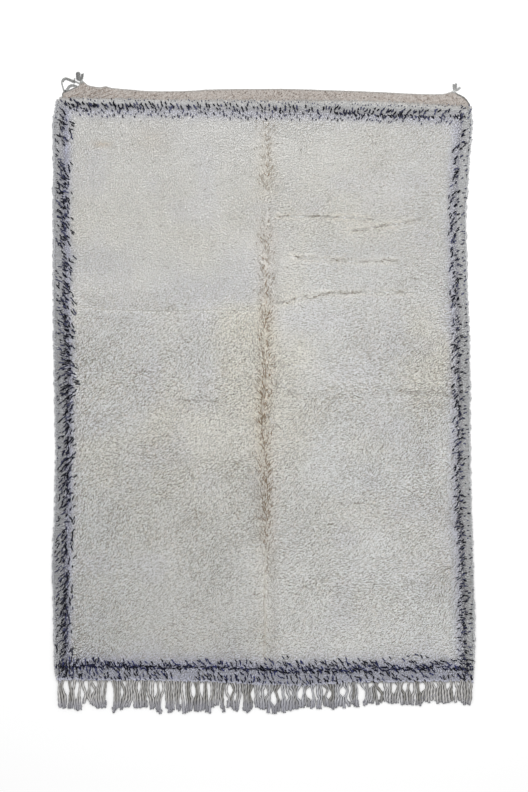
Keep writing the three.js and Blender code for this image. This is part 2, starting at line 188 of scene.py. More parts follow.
def hump(x, y, size, seed):
    """Soft unevenness of a given size, from -1 to 1; every use has a seed of its own."""
    i, j = np.floor(x / size), np.floor(y / size)
    across, along = smooth(x / size - i), smooth(y / size - j)
    near = mix(chance(i, j, seed), chance(i + 1, j, seed), across)
    far = mix(chance(i, j + 1, seed), chance(i + 1, j + 1, seed), across)
    return 2.0 * mix(near, far, along) - 1.0


def right_share(x, blend):
    """0 at the left of the rug and 1 at its right, blended across its middle over that width."""
    return smooth(0.5 + x / blend)


def varied(count, rng):
    """Factors around 1, for lengths and widths that differ by up to a fifth."""
    return rng.uniform(0.8, 1.2, count)


def line_distance(x, y, line):
    """Distance to a line of places, and the offset above it (+) or below it (-)."""
    nearest = np.full(np.shape(x), 1e9)
    above = np.zeros(np.shape(x))
    for (start_x, start_y), (end_x, end_y) in zip(line[:-1], line[1:]):
        run, drop = end_x - start_x, -(end_y - start_y)
        share = np.clip(((x - start_x) * run + (y + start_y) * drop) / (run**2 + drop**2), 0, 1)
        off_x = x - (start_x + share * run)
        off_y = y - (-start_y + share * drop)
        distance = np.hypot(off_x, off_y)
        above = np.where(distance < nearest, off_y, above)
        nearest = np.minimum(nearest, distance)
    return nearest, above


# ---- The pile's shape -------------------------------------------------------------------------------


def seam_at(x):
    return column(SEAM, x)


def lower_edge_at(x):
    return column(LOWER_EDGE, x)


def left_at(y):
    return -column(SIDES, -y, 1)


def right_at(y):
    return column(SIDES, -y, 2)


def rim_distance(x, y):
    """How far a place lies inside the pile's outline, at the sides and the lower end."""
    return np.minimum(np.minimum(x - left_at(y), right_at(y) - x), y - lower_edge_at(x))


def pile_height(x, y):
    """How high the pile stands, with its humps and creases, and lower towards the rim and the seam."""
    height = np.full(np.shape(x), PILE_HEIGHT)
    for size, rise, seed in HUMPS:
        height = height + rise * hump(x, y, size, seed)
    for depth, width, line in CREASES:
        height = height - depth * bell(line_distance(x, y, line)[0], width)
    side = mix(RIM_HEIGHT, height, smooth(rim_distance(x, y) / RIM_SLOPE_WIDTH))
    return mix(np.minimum(SEAM_HEIGHT, side), side, smooth((seam_at(x) - y) / SEAM_SLOPE_WIDTH))


# ---- Meshes -----------------------------------------------------------------------------------------


def new_piece(name, points, faces, material, colours, bake_uv=None, dashes=0.0):
    """A smooth mesh of triangles that rides on the rug's body.

    Its yarn attribute holds the colours, and as alpha how strong the wool's painted shade lines are.
    """
    faces = np.asarray(faces, np.int32)
    mesh = bpy.data.meshes.new(name)
    mesh.vertices.add(len(points))
    mesh.vertices.foreach_set("co", row_frame(points).astype(np.float32).ravel())
    mesh.loops.add(faces.size)
    mesh.loops.foreach_set("vertex_index", faces.ravel())
    mesh.polygons.add(len(faces))
    mesh.polygons.foreach_set("loop_start", np.arange(0, faces.size, 3, dtype=np.int32))
    mesh.update(calc_edges=True)
    mesh.shade_smooth()
    attribute = mesh.attributes.new("yarn", "FLOAT_COLOR", "POINT")
    rgba = np.ones((len(points), 4), np.float32)
    rgba[:, :3] = colours
    rgba[:, 3] = dashes
    attribute.data.foreach_set("color", rgba.ravel())
    if bake_uv is not None:
        layer = mesh.uv_layers.new(name="OFBake")
        layer.data.foreach_set("uv", np.asarray(bake_uv, np.float32).ravel())
    mesh.materials.append(material)
    mesh.validate()
    piece = bpy.data.objects.new(name, mesh)
    bpy.context.scene.collection.objects.link(piece)
    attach(piece, "root")
    return piece


def outward(points, faces):
    """The faces, turned so that they point out of the closed form they make."""
    corners = np.asarray(points)[np.asarray(faces)]
    volume = np.einsum("ij,ij->i", corners[:, 0], np.cross(corners[:, 1], corners[:, 2])).sum()
    return faces if volume > 0 else np.asarray(faces)[:, ::-1]


def grid_corners(columns, rows):
    """The numbers of the places in a grid, and those of the four corners of each of its cells."""
    grid = np.arange((columns + 1) * (rows + 1)).reshape(rows + 1, columns + 1)
    cells = grid[:-1, :-1], grid[:-1, 1:], grid[1:, 1:], grid[1:, :-1]
    return grid, [corner.ravel() for corner in cells]


def cell_map(faces_uv, order):
    """The colour map of many like forms: each has its own cell, with like colours side by side."""
    count = len(order)
    cells = int(np.ceil(np.sqrt(count)))
    place = np.empty(count, int)
    place[order] = np.arange(count)
    corner = np.stack([place % cells, place // cells], axis=1)
    return (faces_uv + corner[:, None, None]) / cells


# A spindle: its root, a ring of three at its thickest place, its tip.
SPINDLE_CORNERS = 5
SPINDLE_REACH = 0.58        # how far the ring's corners stand from its middle, as a share of the width
SPINDLE_FLATNESS = 0.7      # how high the ring is for its width
SPINDLE_FACES = np.array([(0, 2, 1), (0, 3, 2), (0, 1, 3), (1, 2, 4), (2, 3, 4), (3, 1, 4)])
# Where each corner of those faces lies in its spindle's own cell of the colour map.
SPINDLE_UV = np.array([
    [(0.20, 0.04), (0.35, 0.46), (0.05, 0.46)],
    [(0.80, 0.04), (0.95, 0.46), (0.65, 0.46)],
    [(0.50, 0.04), (0.35, 0.46), (0.65, 0.46)],
    [(0.05, 0.50), (0.35, 0.50), (0.20, 0.96)],
    [(0.35, 0.50), (0.65, 0.50), (0.50, 0.96)],
    [(0.65, 0.50), (0.95, 0.50), (0.80, 0.96)],
])


def unit(vectors):
    """The vectors, each made one long."""
    return vectors / np.linalg.norm(vectors, axis=1)[:, None]


def run_along(path):
    """How far along its path each place is."""
    return np.concatenate([[0], np.cumsum(np.linalg.norm(np.diff(path, axis=0), axis=1))])


def spindles(root, middle, tip, width, roll):
    """The corners of many spindles, each through a root, a thickest place and a tip."""
    along = unit(tip - middle)
    side = np.stack([-along[:, 1], along[:, 0], np.zeros(len(root))], axis=1)
    side /= np.linalg.norm(side, axis=1)[:, None] + 1e-9
    normal = np.cross(along, side)
    corners = np.empty((len(root), SPINDLE_CORNERS, 3))
    corners[:, 0] = root
    for corner in range(3):
        angle = roll + np.pi / 2 + corner * 2 * np.pi / 3
        across, up = np.cos(angle)[:, None], np.sin(angle)[:, None]
        off_middle = side * across + SPINDLE_FLATNESS * normal * up
        corners[:, 1 + corner] = middle + SPINDLE_REACH * width[:, None] * off_middle
    corners[:, 4] = tip
    return corners


def add_spindles(name, corners, colour, shade, material, dashes=0.0):
    """One piece from many spindles: the colour of each, and the painted shade and light of its root, ring and
    tip.
    """
    count = len(corners)
    points = corners.reshape(-1, 3)
    faces = (SPINDLE_FACES[None] + SPINDLE_CORNERS * np.arange(count)[:, None, None]).reshape(-1, 3)
    # Painted shade and light: each corner's colour times its shade.
    colours = (colour[:, None, :] * shade[:, :, None]).reshape(-1, 3)
    bake_uv = cell_map(SPINDLE_UV[None], np.argsort(colour.sum(axis=1)))
    dashes = np.repeat(np.broadcast_to(dashes, count), SPINDLE_CORNERS)
    return new_piece(name, points, outward(points, faces), material, colours, bake_uv, dashes)


def curve_through(places, count):
    """A smooth line of evenly shared places through a short list of them."""
    places = np.asarray(places, float)
    ends = np.concatenate([[2 * places[0] - places[1]], places, [2 * places[-1] - places[-2]]])
    share = np.linspace(0, len(places) - 1, 12 * len(places))
    start = np.minimum(share.astype(int), len(places) - 2)
    t = (share - start)[:, None]
    a, b, c, d = (ends[start + step] for step in range(4))
    fine = 0.5 * (2 * b + (c - a) * t + (2 * a - 5 * b + 4 * c - d) * t**2 + (3 * b - a - 3 * c + d) * t**3)
    run = run_along(fine)
    even = np.linspace(0, run[-1], count)
    return np.stack([np.interp(even, run, fine[:, axis]) for axis in range(3)], axis=1)


PLIES = 2
YARN_END = 0.6              # how far a yarn's closed end bulges, as a share of its radius
# The corners of the two triangles of one step of a yarn: how many rings and how many sides on they are.
STEP_RINGS = np.array([(0, 0, 1), (0, 1, 1)])
STEP_SPOKES = np.array([(0, 1, 1), (0, 1, 0)])


def yarn_faces(rings, sides):
    """A yarn's faces and their colour map: two for each step and side, and one for each side at an end."""
    step, number = np.mgrid[0:rings - 1, 0:sides]
    ring, spoke = step[..., None, None] + STEP_RINGS, number[..., None, None] + STEP_SPOKES
    body = (ring * sides + spoke % sides).reshape(-1, 3)
    number = np.arange(sides)
    following = (number + 1) % sides
    first_end, last_end, last_ring = rings * sides, rings * sides + 1, (rings - 1) * sides
    faces = np.concatenate([
        np.stack([np.full(sides, first_end), following, number], axis=1),
        body,
        np.stack([last_ring + number, last_ring + following, np.full(sides, last_end)], axis=1),
    ])
    rows = np.concatenate([
        np.tile([0, 1, 1], (sides, 1)),
        ring.reshape(-1, 3) + 1,
        np.tile([rings, rings, rings + 1], (sides, 1)),
    ])
    columns = np.concatenate([
        number[:, None] + [0.5, 1, 0],
        spoke.reshape(-1, 3),
        number[:, None] + [0, 1, 0.5],
    ])
    return faces, np.stack([rows / (rings + 1), columns / sides], axis=2)


def yarn(path, radius, colour, lay, sides=8, phase=0.0, groove=0.17, dip=0.72, flank=1.0, narrow=0.58):
    """A yarn of two plies along a path, closed at each end: its points, faces, colours and colour map.

    lay is the length of one turn, groove how deep the plies' grooves are and dip the painted shade in them.
    flank is the painted shade at the yarn's two sides, and narrow how far from its middle that shade begins.
    """
    path = np.asarray(path, float)
    radius = np.broadcast_to(radius, len(path)).astype(float)
    count = len(path)
    tangent = unit(np.gradient(path, axis=0))
    side = unit(np.cross((0.0, 0.0, 1.0), tangent))
    up = np.cross(tangent, side)
    run = run_along(path)
    angle = np.arange(sides) * 2 * np.pi / sides
    swell = np.cos(PLIES * (angle[None] - phase) - 2 * np.pi * run[:, None] / lay)
    reach = radius[:, None] * (1.0 + groove * swell)
    ring = path[:, None] + reach[..., None] * (
        side[:, None] * np.cos(angle)[None, :, None] + up[:, None] * np.sin(angle)[None, :, None]
    )
    start = path[0] - YARN_END * radius[0] * tangent[0]
    end = path[-1] + YARN_END * radius[-1] * tangent[-1]
    points = np.concatenate([ring.reshape(-1, 3), [start, end]])
    points[:, 2] = np.maximum(points[:, 2], FLOOR_GAP)
    # Painted shade: darker in the plies' grooves and at the yarn's sides.
    shade = mix(1.0, dip, smooth(0.5 - 0.5 * swell))
    shade = shade * mix(1.0, flank, smooth((np.abs(np.cos(angle)) - narrow) / (1.0 - narrow)))[None]
    shade = np.append(shade.ravel(), [dip, dip])
    faces, bake_uv = yarn_faces(count, sides)
    return points, outward(points, faces), np.asarray(colour) * shade[:, None], bake_uv


CELL_INSET = 0.02           # the bare rim of a form's own cell in the colour map


def add_forms(name, forms, material):
    """One piece from many closed forms, each with its own cell in the colour map."""
    order = np.argsort([form[2].mean() for form in forms])
    cells = int(np.ceil(np.sqrt(len(forms))))
    all_points, all_faces, all_colours, all_uv = [], [], [], []
    first = 0
    for rank, number in enumerate(order):
        points, faces, colours, bake_uv = forms[number]
        all_points.append(points)
        all_faces.append(faces + first)
        all_colours.append(colours)
        inset = CELL_INSET + (1.0 - 2.0 * CELL_INSET) * bake_uv
        all_uv.append((inset + (rank % cells, rank // cells)) / cells)
        first += len(points)
    return new_piece(
        name, np.concatenate(all_points), np.concatenate(all_faces), material,
        np.concatenate(all_colours), np.concatenate(all_uv),
    )


# ---- Materials --------------------------------------------------------------------------------------

# Painted shade: thin dark lines in the wool, standing for the shadow in the gaps between the locks.
DASH_WIDTH = 5.0
DASH_LENGTH = 2.7           # how many times longer than wide they are
DASH_DEPTH = 0.60
DASH_TINT = (0.94, 0.99, 1.12)  # how much of the red, the green and the blue they take away


def add_node(tree, kind, inputs, operation=None):
    """A node of a material, with the plain values and the linked outputs that go into its inputs."""
    node = tree.nodes.new(kind)
    if operation:
        node.operation = operation
    for socket, value in inputs.items():
        if isinstance(value, bpy.types.NodeSocket):
            tree.links.new(value, node.inputs[socket])
        else:
            node.inputs[socket].default_value = value
    return node


def dash_shade(tree, place, strength, slant):
    """What painted shade, as thin dark lines along the lie of the wool, leaves of each colour, for a strength
    from 0 to 1.
    """
    turned = add_node(tree, "ShaderNodeMapping", {
        "Vector": place, "Rotation": (0.0, 0.0, np.radians(slant)), "Scale": (DASH_LENGTH, 1.0, 1.0),
    })
    turned.vector_type = "TEXTURE"
    lines = add_node(tree, "ShaderNodeTexNoise", {
        "Vector": turned.outputs["Vector"], "Scale": 1.0 / (DASH_WIDTH * MM), "Detail": 1.0,
    })
    deep = add_node(tree, "ShaderNodeMapRange", {
        "Value": lines.outputs["Fac"], "From Min": 0.38, "From Max": 0.45, "To Min": 1.0, "To Max": 0.0,
    })
    strong = add_node(tree, "ShaderNodeMath", {0: deep.outputs["Result"], 1: strength}, "MULTIPLY")
    darker = add_node(tree, "ShaderNodeVectorMath", {
        "Vector": [-DASH_DEPTH * share for share in DASH_TINT], "Scale": strong.outputs["Value"],
    }, "SCALE")
    left = add_node(tree, "ShaderNodeVectorMath", {0: darker.outputs["Vector"], 1: (1.0, 1.0, 1.0)}, "ADD")
    return left.outputs["Vector"]


def wool_material(name, roughness, sheen, grain_size, grain_depth, mottling, slant=None):
    """Wool that takes its colour from the yarn attribute, with a fibre grain in colour and relief, and with a
    slant, painted shade in thin dark lines.
    """
    material = bpy.data.materials.new(name)
    material.use_nodes = True
    tree = material.node_tree
    yarn_colour = add_node(tree, "ShaderNodeAttribute", {})
    yarn_colour.attribute_name = "yarn"
    place = add_node(tree, "ShaderNodeTexCoord", {}).outputs["Object"]
    grain = add_node(tree, "ShaderNodeTexNoise", {
        "Vector": place, "Scale": 1.0 / (grain_size * MM), "Detail": 3.0,
    })
    tone = add_node(tree, "ShaderNodeMapRange", {
        "Value": grain.outputs["Fac"], "From Min": 0.3, "From Max": 0.7,
        "To Min": 1.0 - mottling, "To Max": 1.0 + mottling,
    })
    shade = add_node(tree, "ShaderNodeVectorMath", {
        "Vector": yarn_colour.outputs["Color"], "Scale": tone.outputs["Result"],
    }, "SCALE")
    if slant is not None:
        # Painted shade: thin dark lines along the lie of the wool.
        left = dash_shade(tree, place, yarn_colour.outputs["Alpha"], slant)
        shade = add_node(tree, "ShaderNodeVectorMath", {0: shade.outputs["Vector"], 1: left}, "MULTIPLY")
    relief = add_node(tree, "ShaderNodeBump", {
        "Height": grain.outputs["Fac"], "Strength": 0.6, "Distance": grain_depth * MM,
    })
    shader = tree.nodes["Principled BSDF"]
    shader.inputs["Roughness"].default_value = roughness
    shader.inputs["Sheen Weight"].default_value = sheen
    shader.inputs["Sheen Roughness"].default_value = 0.6
    shader.inputs["Specular IOR Level"].default_value = 0.1
    tree.links.new(shade.outputs["Vector"], shader.inputs["Base Color"])
    tree.links.new(relief.outputs["Normal"], shader.inputs["Normal"])
    return material


# One pile wool for each strip of the pile from left to right, with the slant of its painted shade lines.
PILE_WOOLS = [
    wool_material(f"pile_wool_{number + 1}", 0.95, 0.03, 4.2, 0.8, 0.09, slant)
    for number, slant in enumerate([44, 38, 14, 16, 18])
]
GROUND_WOOL = wool_material("ground_wool", 1.0, 0.0, 3.0, 1.5, 0.08, 30)
HEM_WOOL = wool_material("hem_wool", 0.95, 0.03, 3.4, 1.4, 0.16)
WARP_WOOL = wool_material("warp_wool", 0.9, 0.05, 1.6, 0.5, 0.08)
TIE_WOOL = wool_material("tie_wool", 0.9, 0.05, 1.6, 0.5, 0.08)

# ---- Camera, light and floor ------------------------------------------------------------------------

LENS = 120.0
SENSOR = 36.0
PICTURE_HEIGHT = 792
PICTURE_MIDDLE = (264.0, 396.0)
SCALE_LEVEL = 12.0          # the level at which a pixel of the picture is as wide as PIXEL says
EYE_LEVEL = PICTURE_HEIGHT * PIXEL * LENS / SENSOR + SCALE_LEVEL
LIGHT_PLACE = (400, 900, 4200)
LIGHT_AIM = (0, -1300, 0)
LIGHT_SIZE = 2600
LIGHT_POWER = 138.0
WHITE = (1.0, 1.0, 1.0)
SKY_STRENGTH = 0.85
FLOOR_REACH = 40000.0
FLOOR_LEVEL = -0.5
FLOOR_GREY = (0.9, 0.9, 0.9, 1.0)


def add_camera():
    """The camera straight above the rug, so that its picture has the photograph's frame."""
    camera = bpy.data.objects.new("camera", bpy.data.cameras.new("camera"))
    camera.data.lens = LENS
    camera.data.sensor_width = SENSOR
    x, y = from_photo(*PICTURE_MIDDLE)
    camera.location = row_frame([x, y, EYE_LEVEL])
    bpy.context.scene.collection.objects.link(camera)
    bpy.context.scene.camera = camera


def add_light():
    """One broad soft light over the upper end of the rug."""
    lamp = bpy.data.lights.new("key", "AREA")
    lamp.shape = "SQUARE"
    lamp.size = LIGHT_SIZE * MM
    lamp.energy = LIGHT_POWER
    lamp.color = WHITE
    light = bpy.data.objects.new("key", lamp)
    place, aim = row_frame(LIGHT_PLACE), row_frame(LIGHT_AIM)
    light.location = place
    light.rotation_euler = Vector(aim - place).to_track_quat("-Z", "Y").to_euler()
    bpy.context.scene.collection.objects.link(light)


def add_stage():
    """The studio: a pale dull floor and an even white sky."""
    material = bpy.data.materials.new("studio_floor")
    material.use_nodes = True
    shader = material.node_tree.nodes["Principled BSDF"]
    shader.inputs["Base Color"].default_value = FLOOR_GREY
    shader.inputs["Roughness"].default_value = 1.0
    shader.inputs["Specular IOR Level"].default_value = 0.0
    mesh = bpy.data.meshes.new("floor")
    signs = [(-1, -1), (1, -1), (1, 1), (-1, 1)]
    corners = [(x * FLOOR_REACH, y * FLOOR_REACH, FLOOR_LEVEL) for x, y in signs]
    mesh.from_pydata([tuple(p) for p in row_frame(corners)], [], [(0, 1, 2, 3)])
    mesh.materials.append(material)
    floor = bpy.data.objects.new("floor", mesh)
    bpy.context.scene.collection.objects.link(floor)
    world = bpy.data.worlds.new("studio")
    world.use_nodes = True
    sky = world.node_tree.nodes["Background"]
    sky.inputs["Color"].default_value = (*WHITE, 1.0)
    sky.inputs["Strength"].default_value = SKY_STRENGTH
    bpy.context.scene.world = world
    bpy.context.scene.view_settings.view_transform = "Standard"


add_camera()
add_light()
add_stage()

# ---- The border's dark line -------------------------------------------------------------------------



def photo_line(pixels, down_first=False):
    """A line of pixels as places on the rug: across and up, or with down_first down and across."""
    x, y = from_photo(*np.array(pixels, float).T)
    return np.stack([-y, x] if down_first else [x, y], axis=1)


# Where the dark line runs along each side, from pixels read off the photograph.
TOP_CORE = photo_line([
    (60, 104), (90, 108.5), (180, 108.7), (230, 110.3), (300, 111.6), (345, 112.6), (375, 114.2),
    (405, 114.8), (435, 116.4), (470, 114),
])
LOWER_CORE = photo_line([
    (54, 666), (90, 665), (145, 667.5), (236, 667.5), (270, 670), (340, 670), (420, 668.5), (476, 668),
])
LEFT_CORE = photo_line([
    (64, 100), (63.3, 136), (63, 184), (63.6, 232), (65, 256), (64.6, 304), (66, 340), (67.3, 376),
    (67, 448), (65.8, 472), (66.6, 520), (65.2, 544), (65, 690),
], down_first=True)
RIGHT_CORE = photo_line([
    (460, 100), (460, 136), (457.4, 160), (455.4, 184), (453.6, 232), (454.7, 256), (456.6, 304),
    (457.2, 352), (458.1, 400), (458.6, 448), (458, 520), (461.2, 544), (462.1, 592), (463.2, 640),
    (464, 690),
], down_first=True)

SIDE_LEFT, SIDE_RIGHT, SIDE_TOP, SIDE_LOWER = range(4)

# The rows of dark strokes: the side, the stretch of it (down the rug, or across), the pitch along it, between
# which distances inside the dark line they start, the shortest and longest, the width, how many lie together,
# how black they are and how much they are turned from the way of their side.
STROKE_ROWS = [
    (SIDE_LEFT, 40, 2768, 12.5, -62, -26, 16, 40, 7.0, 1, 2.8, 0),
    (SIDE_LEFT, 40, 2768, 13, -26, -8, 18, 38, 7.0, 1, 3.0, 0),
    (SIDE_LEFT, 60, 2768, 37, -9, 5, 18, 28, 8.6, 3, 4.0, 0),
    (SIDE_LEFT, 60, 2768, 13.5, 2, 38, 18, 36, 7.2, 1, 3.0, 0),
    (SIDE_RIGHT, 30, 2768, 22, -50, -14, 14, 28, 6.8, 1, 1.4, 0),
    (SIDE_RIGHT, 40, 2768, 34, -10, 6, 16, 26, 8.0, 2, 3.0, 0),
    (SIDE_RIGHT, 230, 2768, 13.5, 2, 36, 18, 36, 7.8, 1, 3.0, 0),
    (SIDE_TOP, -940, 180, 19, -40, -18, 18, 36, 8.6, 1, 3.4, 0),
    (SIDE_TOP, -940, 180, 17, -18, 4, 12, 26, 7.8, 1, 2.6, 0),
    (SIDE_TOP, -985, -900, 9, -44, -6, 14, 26, 8.0, 1, 3.0, 0),
    (SIDE_TOP, -900, -560, 34, -28, -4, 16, 30, 9.0, 2, 4.0, 0),
    (SIDE_TOP, 180, 960, 14, -36, -12, 18, 34, 8.6, 1, 3.2, 0),
    (SIDE_TOP, 180, 960, 8, -7, 5, 14, 22, 8.2, 1, 3.4, 60),
    (SIDE_TOP, -965, 960, 13, 6, 34, 10, 22, 6.8, 1, 1.6, 0),
    (SIDE_TOP, -965, 960, 16, -54, -40, 6, 14, 5.4, 1, 0.6, 0),
    (SIDE_LOWER, -985, 60, 9.5, -5, 5, 16, 26, 8.2, 1, 4.5, 62),
    (SIDE_LOWER, 60, 1000, 12, -9, 8, 16, 26, 8.0, 1, 3.6, 58),
    (SIDE_LOWER, -985, 1000, 16, -6, 8, 18, 30, 7.8, 1, 3.0, 0),
    (SIDE_LOWER, -985, 0, 16, -34, -12, 22, 38, 7.6, 1, 3.2, 0),
    (SIDE_LOWER, 0, 1000, 22, -34, -12, 22, 38, 7.6, 1, 3.2, 0),
    (SIDE_LOWER, -985, 1000, 17, -60, -34, 20, 38, 7.2, 1, 2.8, 0),
    (SIDE_LOWER, -985, 1000, 17, -88, -58, 14, 28, 6.6, 1, 2.0, 0),
    (SIDE_LOWER, -985, 1000, 10, 10, 50, 20, 38, 7.0, 1, 2.2, 0),
    (SIDE_LOWER, 0, 800, 30, 36, 76, 18, 34, 6.8, 1, 2.0, 0),
]
SOLID = 4.2                 # a row blacker than this has no breaks
BUNCH_ALONG = 7.0           # how far strokes that lie together are spread along their side
BUNCH_ACROSS = 5.0
STROKE_STEP = 13.0          # a long stroke is a chain of tufts, each this far past the one before
STROKE_LAP = 9.0            # how far a tuft of such a chain reaches over the next
STROKE_TUFTS = 3
SHORTEST_TUFT = 6.0         # a chain doesn't end in a shorter tuft than this
STROKE_SCATTER, STROKE_BEND = 0.24, 0.25
# Which way the strokes run along each side, outside and inside the dark line, in degrees from straight right.
STROKE_SLANTS = {
    SIDE_LEFT: np.array([
        (0, -50, -48), (480, -40, -56), (950, -46, -50), (1190, -10, -50), (1330, 20, -5), (1430, 44, 45),
        (1700, 50, 52), (1950, 56, 72), (2200, 48, 78), (2600, 50, 85), (2780, 60, 95),
    ]),
    SIDE_RIGHT: np.array([
        (0, 35, 42), (480, 30, 52), (950, 25, 52), (1200, 20, 44), (1500, 12, 48), (1900, 15, 40),
        (2200, 12, 30), (2500, 0, 25), (2640, -25, -20), (2780, -45, -40),
    ]),
    SIDE_TOP: np.array([
        (-965, -50, -42), (-800, -56, -60), (-600, -66, -88), (-200, -70, -84), (100, -80, -92),
        (300, -104, -112), (600, -120, -128), (965, -135, -135),
    ]),
    SIDE_LOWER: np.array([
        (-980, -100, -95), (-850, -73, -80), (-700, -60, -52), (-400, -58, -50), (-100, -70, -54),
        (150, -66, -50), (300, -56, -48), (600, -50, -40), (1000, -45, -30),
    ]),
}


def border(x, y):
    """How far a place lies inside the dark line, and which side of the rug that line runs along."""
    inside = np.stack([
        x - column(LEFT_CORE, -y),
        column(RIGHT_CORE, -y) - x,
        column(TOP_CORE, x) - y,
        y - column(LOWER_CORE, x),
    ])
    side = inside.argmin(axis=0)
    return inside.min(axis=0), side


# ---- How the pile leans -----------------------------------------------------------------------------

PARTING = np.array([
    (0, 20), (440, 21), (950, 17), (1250, 19), (1480, 0), (1700, 10), (1850, 22), (2100, 20), (2300, 12),
    (2740, 14),
])
# How brown and how open the parting is, down the rug.
PARTING_BROWN = np.array([
    (0, 0.1), (120, 0.45), (330, 0.8), (430, 0.5), (500, 0.2), (640, 0.7), (900, 0.6), (1000, 1.0),
    (1900, 1.0), (2100, 0.8), (2180, 0.4), (2400, 0.35), (2740, 0.1),
])
# How far the pile falls away from the parting (+) or towards it (-), down the rug.
PARTING_FALL = np.array([
    (0, 0.1), (240, -0.4), (690, -0.8), (735, 0.5), (950, 0.9), (1010, -0.3), (1235, -1.0), (1275, 1.0),
    (1430, 0.8), (1600, 0.2), (1980, -0.4), (2095, -0.8), (2140, 0.6), (2480, 0.9), (2740, 0.3),
])
PARTING_REACH = 62.0
FALL_ACROSS = 1.1           # how the pile lies where it falls to or from the parting
FALL_DOWN = -0.8
# Which way the open pile points at the left and at the right, in radians from straight down, what share of
# that it keeps at the hem, and how far down it has all of it.
LEFT_ANGLE, RIGHT_ANGLE = -0.8, -1.2
HEM_ANGLE_SHARE = 0.6
FULL_ANGLE_DOWN = 900.0
SMOOTH_TURNING = 0.35       # how much less the lean wanders in smooth pile
# How the pile is pushed up by a crease: above it, and below it.
CREASE_LIFT = (1.0, -0.2)
# How far up (+) or down (-) the outermost pile points at the left side and at the right side, down the rug.
LEFT_RISE = np.array([
    (0, 0.2), (250, 0.45), (700, 0.3), (1200, -0.1), (1900, -0.2), (2300, -0.35), (2600, -0.95),
])
RIGHT_RISE = np.array([(0, 0.35), (300, 0.0), (900, -0.15), (2300, -0.1), (2650, -0.7)])
# How the pile falls past the dark line and just inside it, at the left, the right, the top and the lower end.
OUTWARD_X = np.array([-1.0, 1.0, -0.1, 0.4])
TOP_RISE = 0.6
LOWER_RISE = -1.0
INWARD_X = np.array([0.62, -0.7, 0.2, 0.2])
INWARD_Y = np.array([-0.85, -0.85, -1.0, -0.9])
INWARD_SHARE = 0.85
OUTER_START, OUTER_BLEND = 6.0, 26.0    # how far inside the dark line the outward fall starts to end
INNER_PLACE, INNER_WIDTH = 14.0, 22.0   # where the inward fall is strongest, and how wide it is
# How rough the pile is at the left and at the right, down the rug.
ROUGHNESS = np.array([
    (0, 0.32, 0.45), (250, 0.31, 0.42), (850, 0.38, 0.52), (1000, 0.64, 0.60), (1250, 1.0, 0.84),
    (1400, 1.05, 0.92), (1600, 0.9, 0.76), (1950, 1.0, 0.80), (2200, 0.8, 0.70), (2500, 0.66, 0.64),
    (2780, 0.6, 0.62),
])
# How much lighter the wool's colour is made than near the hem, at the left and at the right, down the rug:
# painted light that offsets the deeper shade of the rougher pile.
LIGHTNESS = np.array([
    (0, 1.0, 1.0), (660, 1.0, 1.0), (780, 1.01, 1.01), (1073, 1.13, 1.07), (1360, 1.17, 1.06),
    (1650, 1.11, 1.06), (1930, 1.08, 1.04), (2220, 1.06, 1.05), (2500, 1.0, 1.05), (2780, 0.99, 1.04),
])


def ruffle(x, y):
    """How rough the pile is: smooth near the hem and rougher further down."""
    rough = mix(column(ROUGHNESS, -y, 1), column(ROUGHNESS, -y, 2), right_share(x, 300.0))
    return rough * (1.0 + 0.3 * hump(x, y, 260, 71) + 0.2 * hump(x, y, 110, 72))


def lean(x, y):
    """The direction in which the pile lies over, as a vector; its length says how flat it lies."""
    inside, side = border(x, y)
    angle = mix(LEFT_ANGLE, RIGHT_ANGLE, right_share(x, 500.0))
    angle = angle * mix(HEM_ANGLE_SHARE, 1.0, smooth(-y / FULL_ANGLE_DOWN))
    turning = 0.55 * hump(x, y, 230, 3) + 0.6 * hump(x, y, 96, 5) + 0.5 * hump(x, y, 41, 7)
    angle = angle + turning * mix(SMOOTH_TURNING, 1.0, np.minimum(ruffle(x, y), 1.0))
    lean_x, lean_y = np.sin(angle), -np.cos(angle)
    across = x - column(PARTING, -y)
    fall = column(PARTING_FALL, -y) * bell(across, PARTING_REACH)
    lean_x = lean_x * (1.0 - np.abs(fall)) + FALL_ACROSS * fall * np.sign(across)
    lean_y = mix(lean_y, FALL_DOWN, np.minimum(np.abs(fall), 1.0))
    for depth, width, line in CREASES[1:]:
        distance, above = line_distance(x, y, line)
        near = bell(distance, 0.7 * width)
        lean_y = lean_y + np.where(above > 0, *CREASE_LIFT) * near * depth / DEEPEST_CREASE
    # Past the dark line the pile falls outward; just inside it, inward and down.
    outer = smooth((OUTER_START - inside) / OUTER_BLEND)
    inner = bell(inside - INNER_PLACE, INNER_WIDTH) * (1 - outer)
    out_y = np.choose(side, [column(LEFT_RISE, -y), column(RIGHT_RISE, -y), TOP_RISE, LOWER_RISE])
    wobble = 0.42 * hump(x, y, 31, 17) + 0.3 * hump(x, y, 90, 19)
    lean_x = mix(lean_x, INWARD_X[side] + wobble, INWARD_SHARE * inner)
    lean_y = mix(lean_y, INWARD_Y[side], INWARD_SHARE * inner)
    lean_x = mix(lean_x, OUTWARD_X[side] + wobble * (side >= SIDE_TOP), outer)
    lean_y = mix(lean_y, out_y + 0.6 * wobble * (side < SIDE_TOP), outer)
    return lean_x, lean_y


# ---- Furrows: how the pile opens --------------------------------------------------------------------

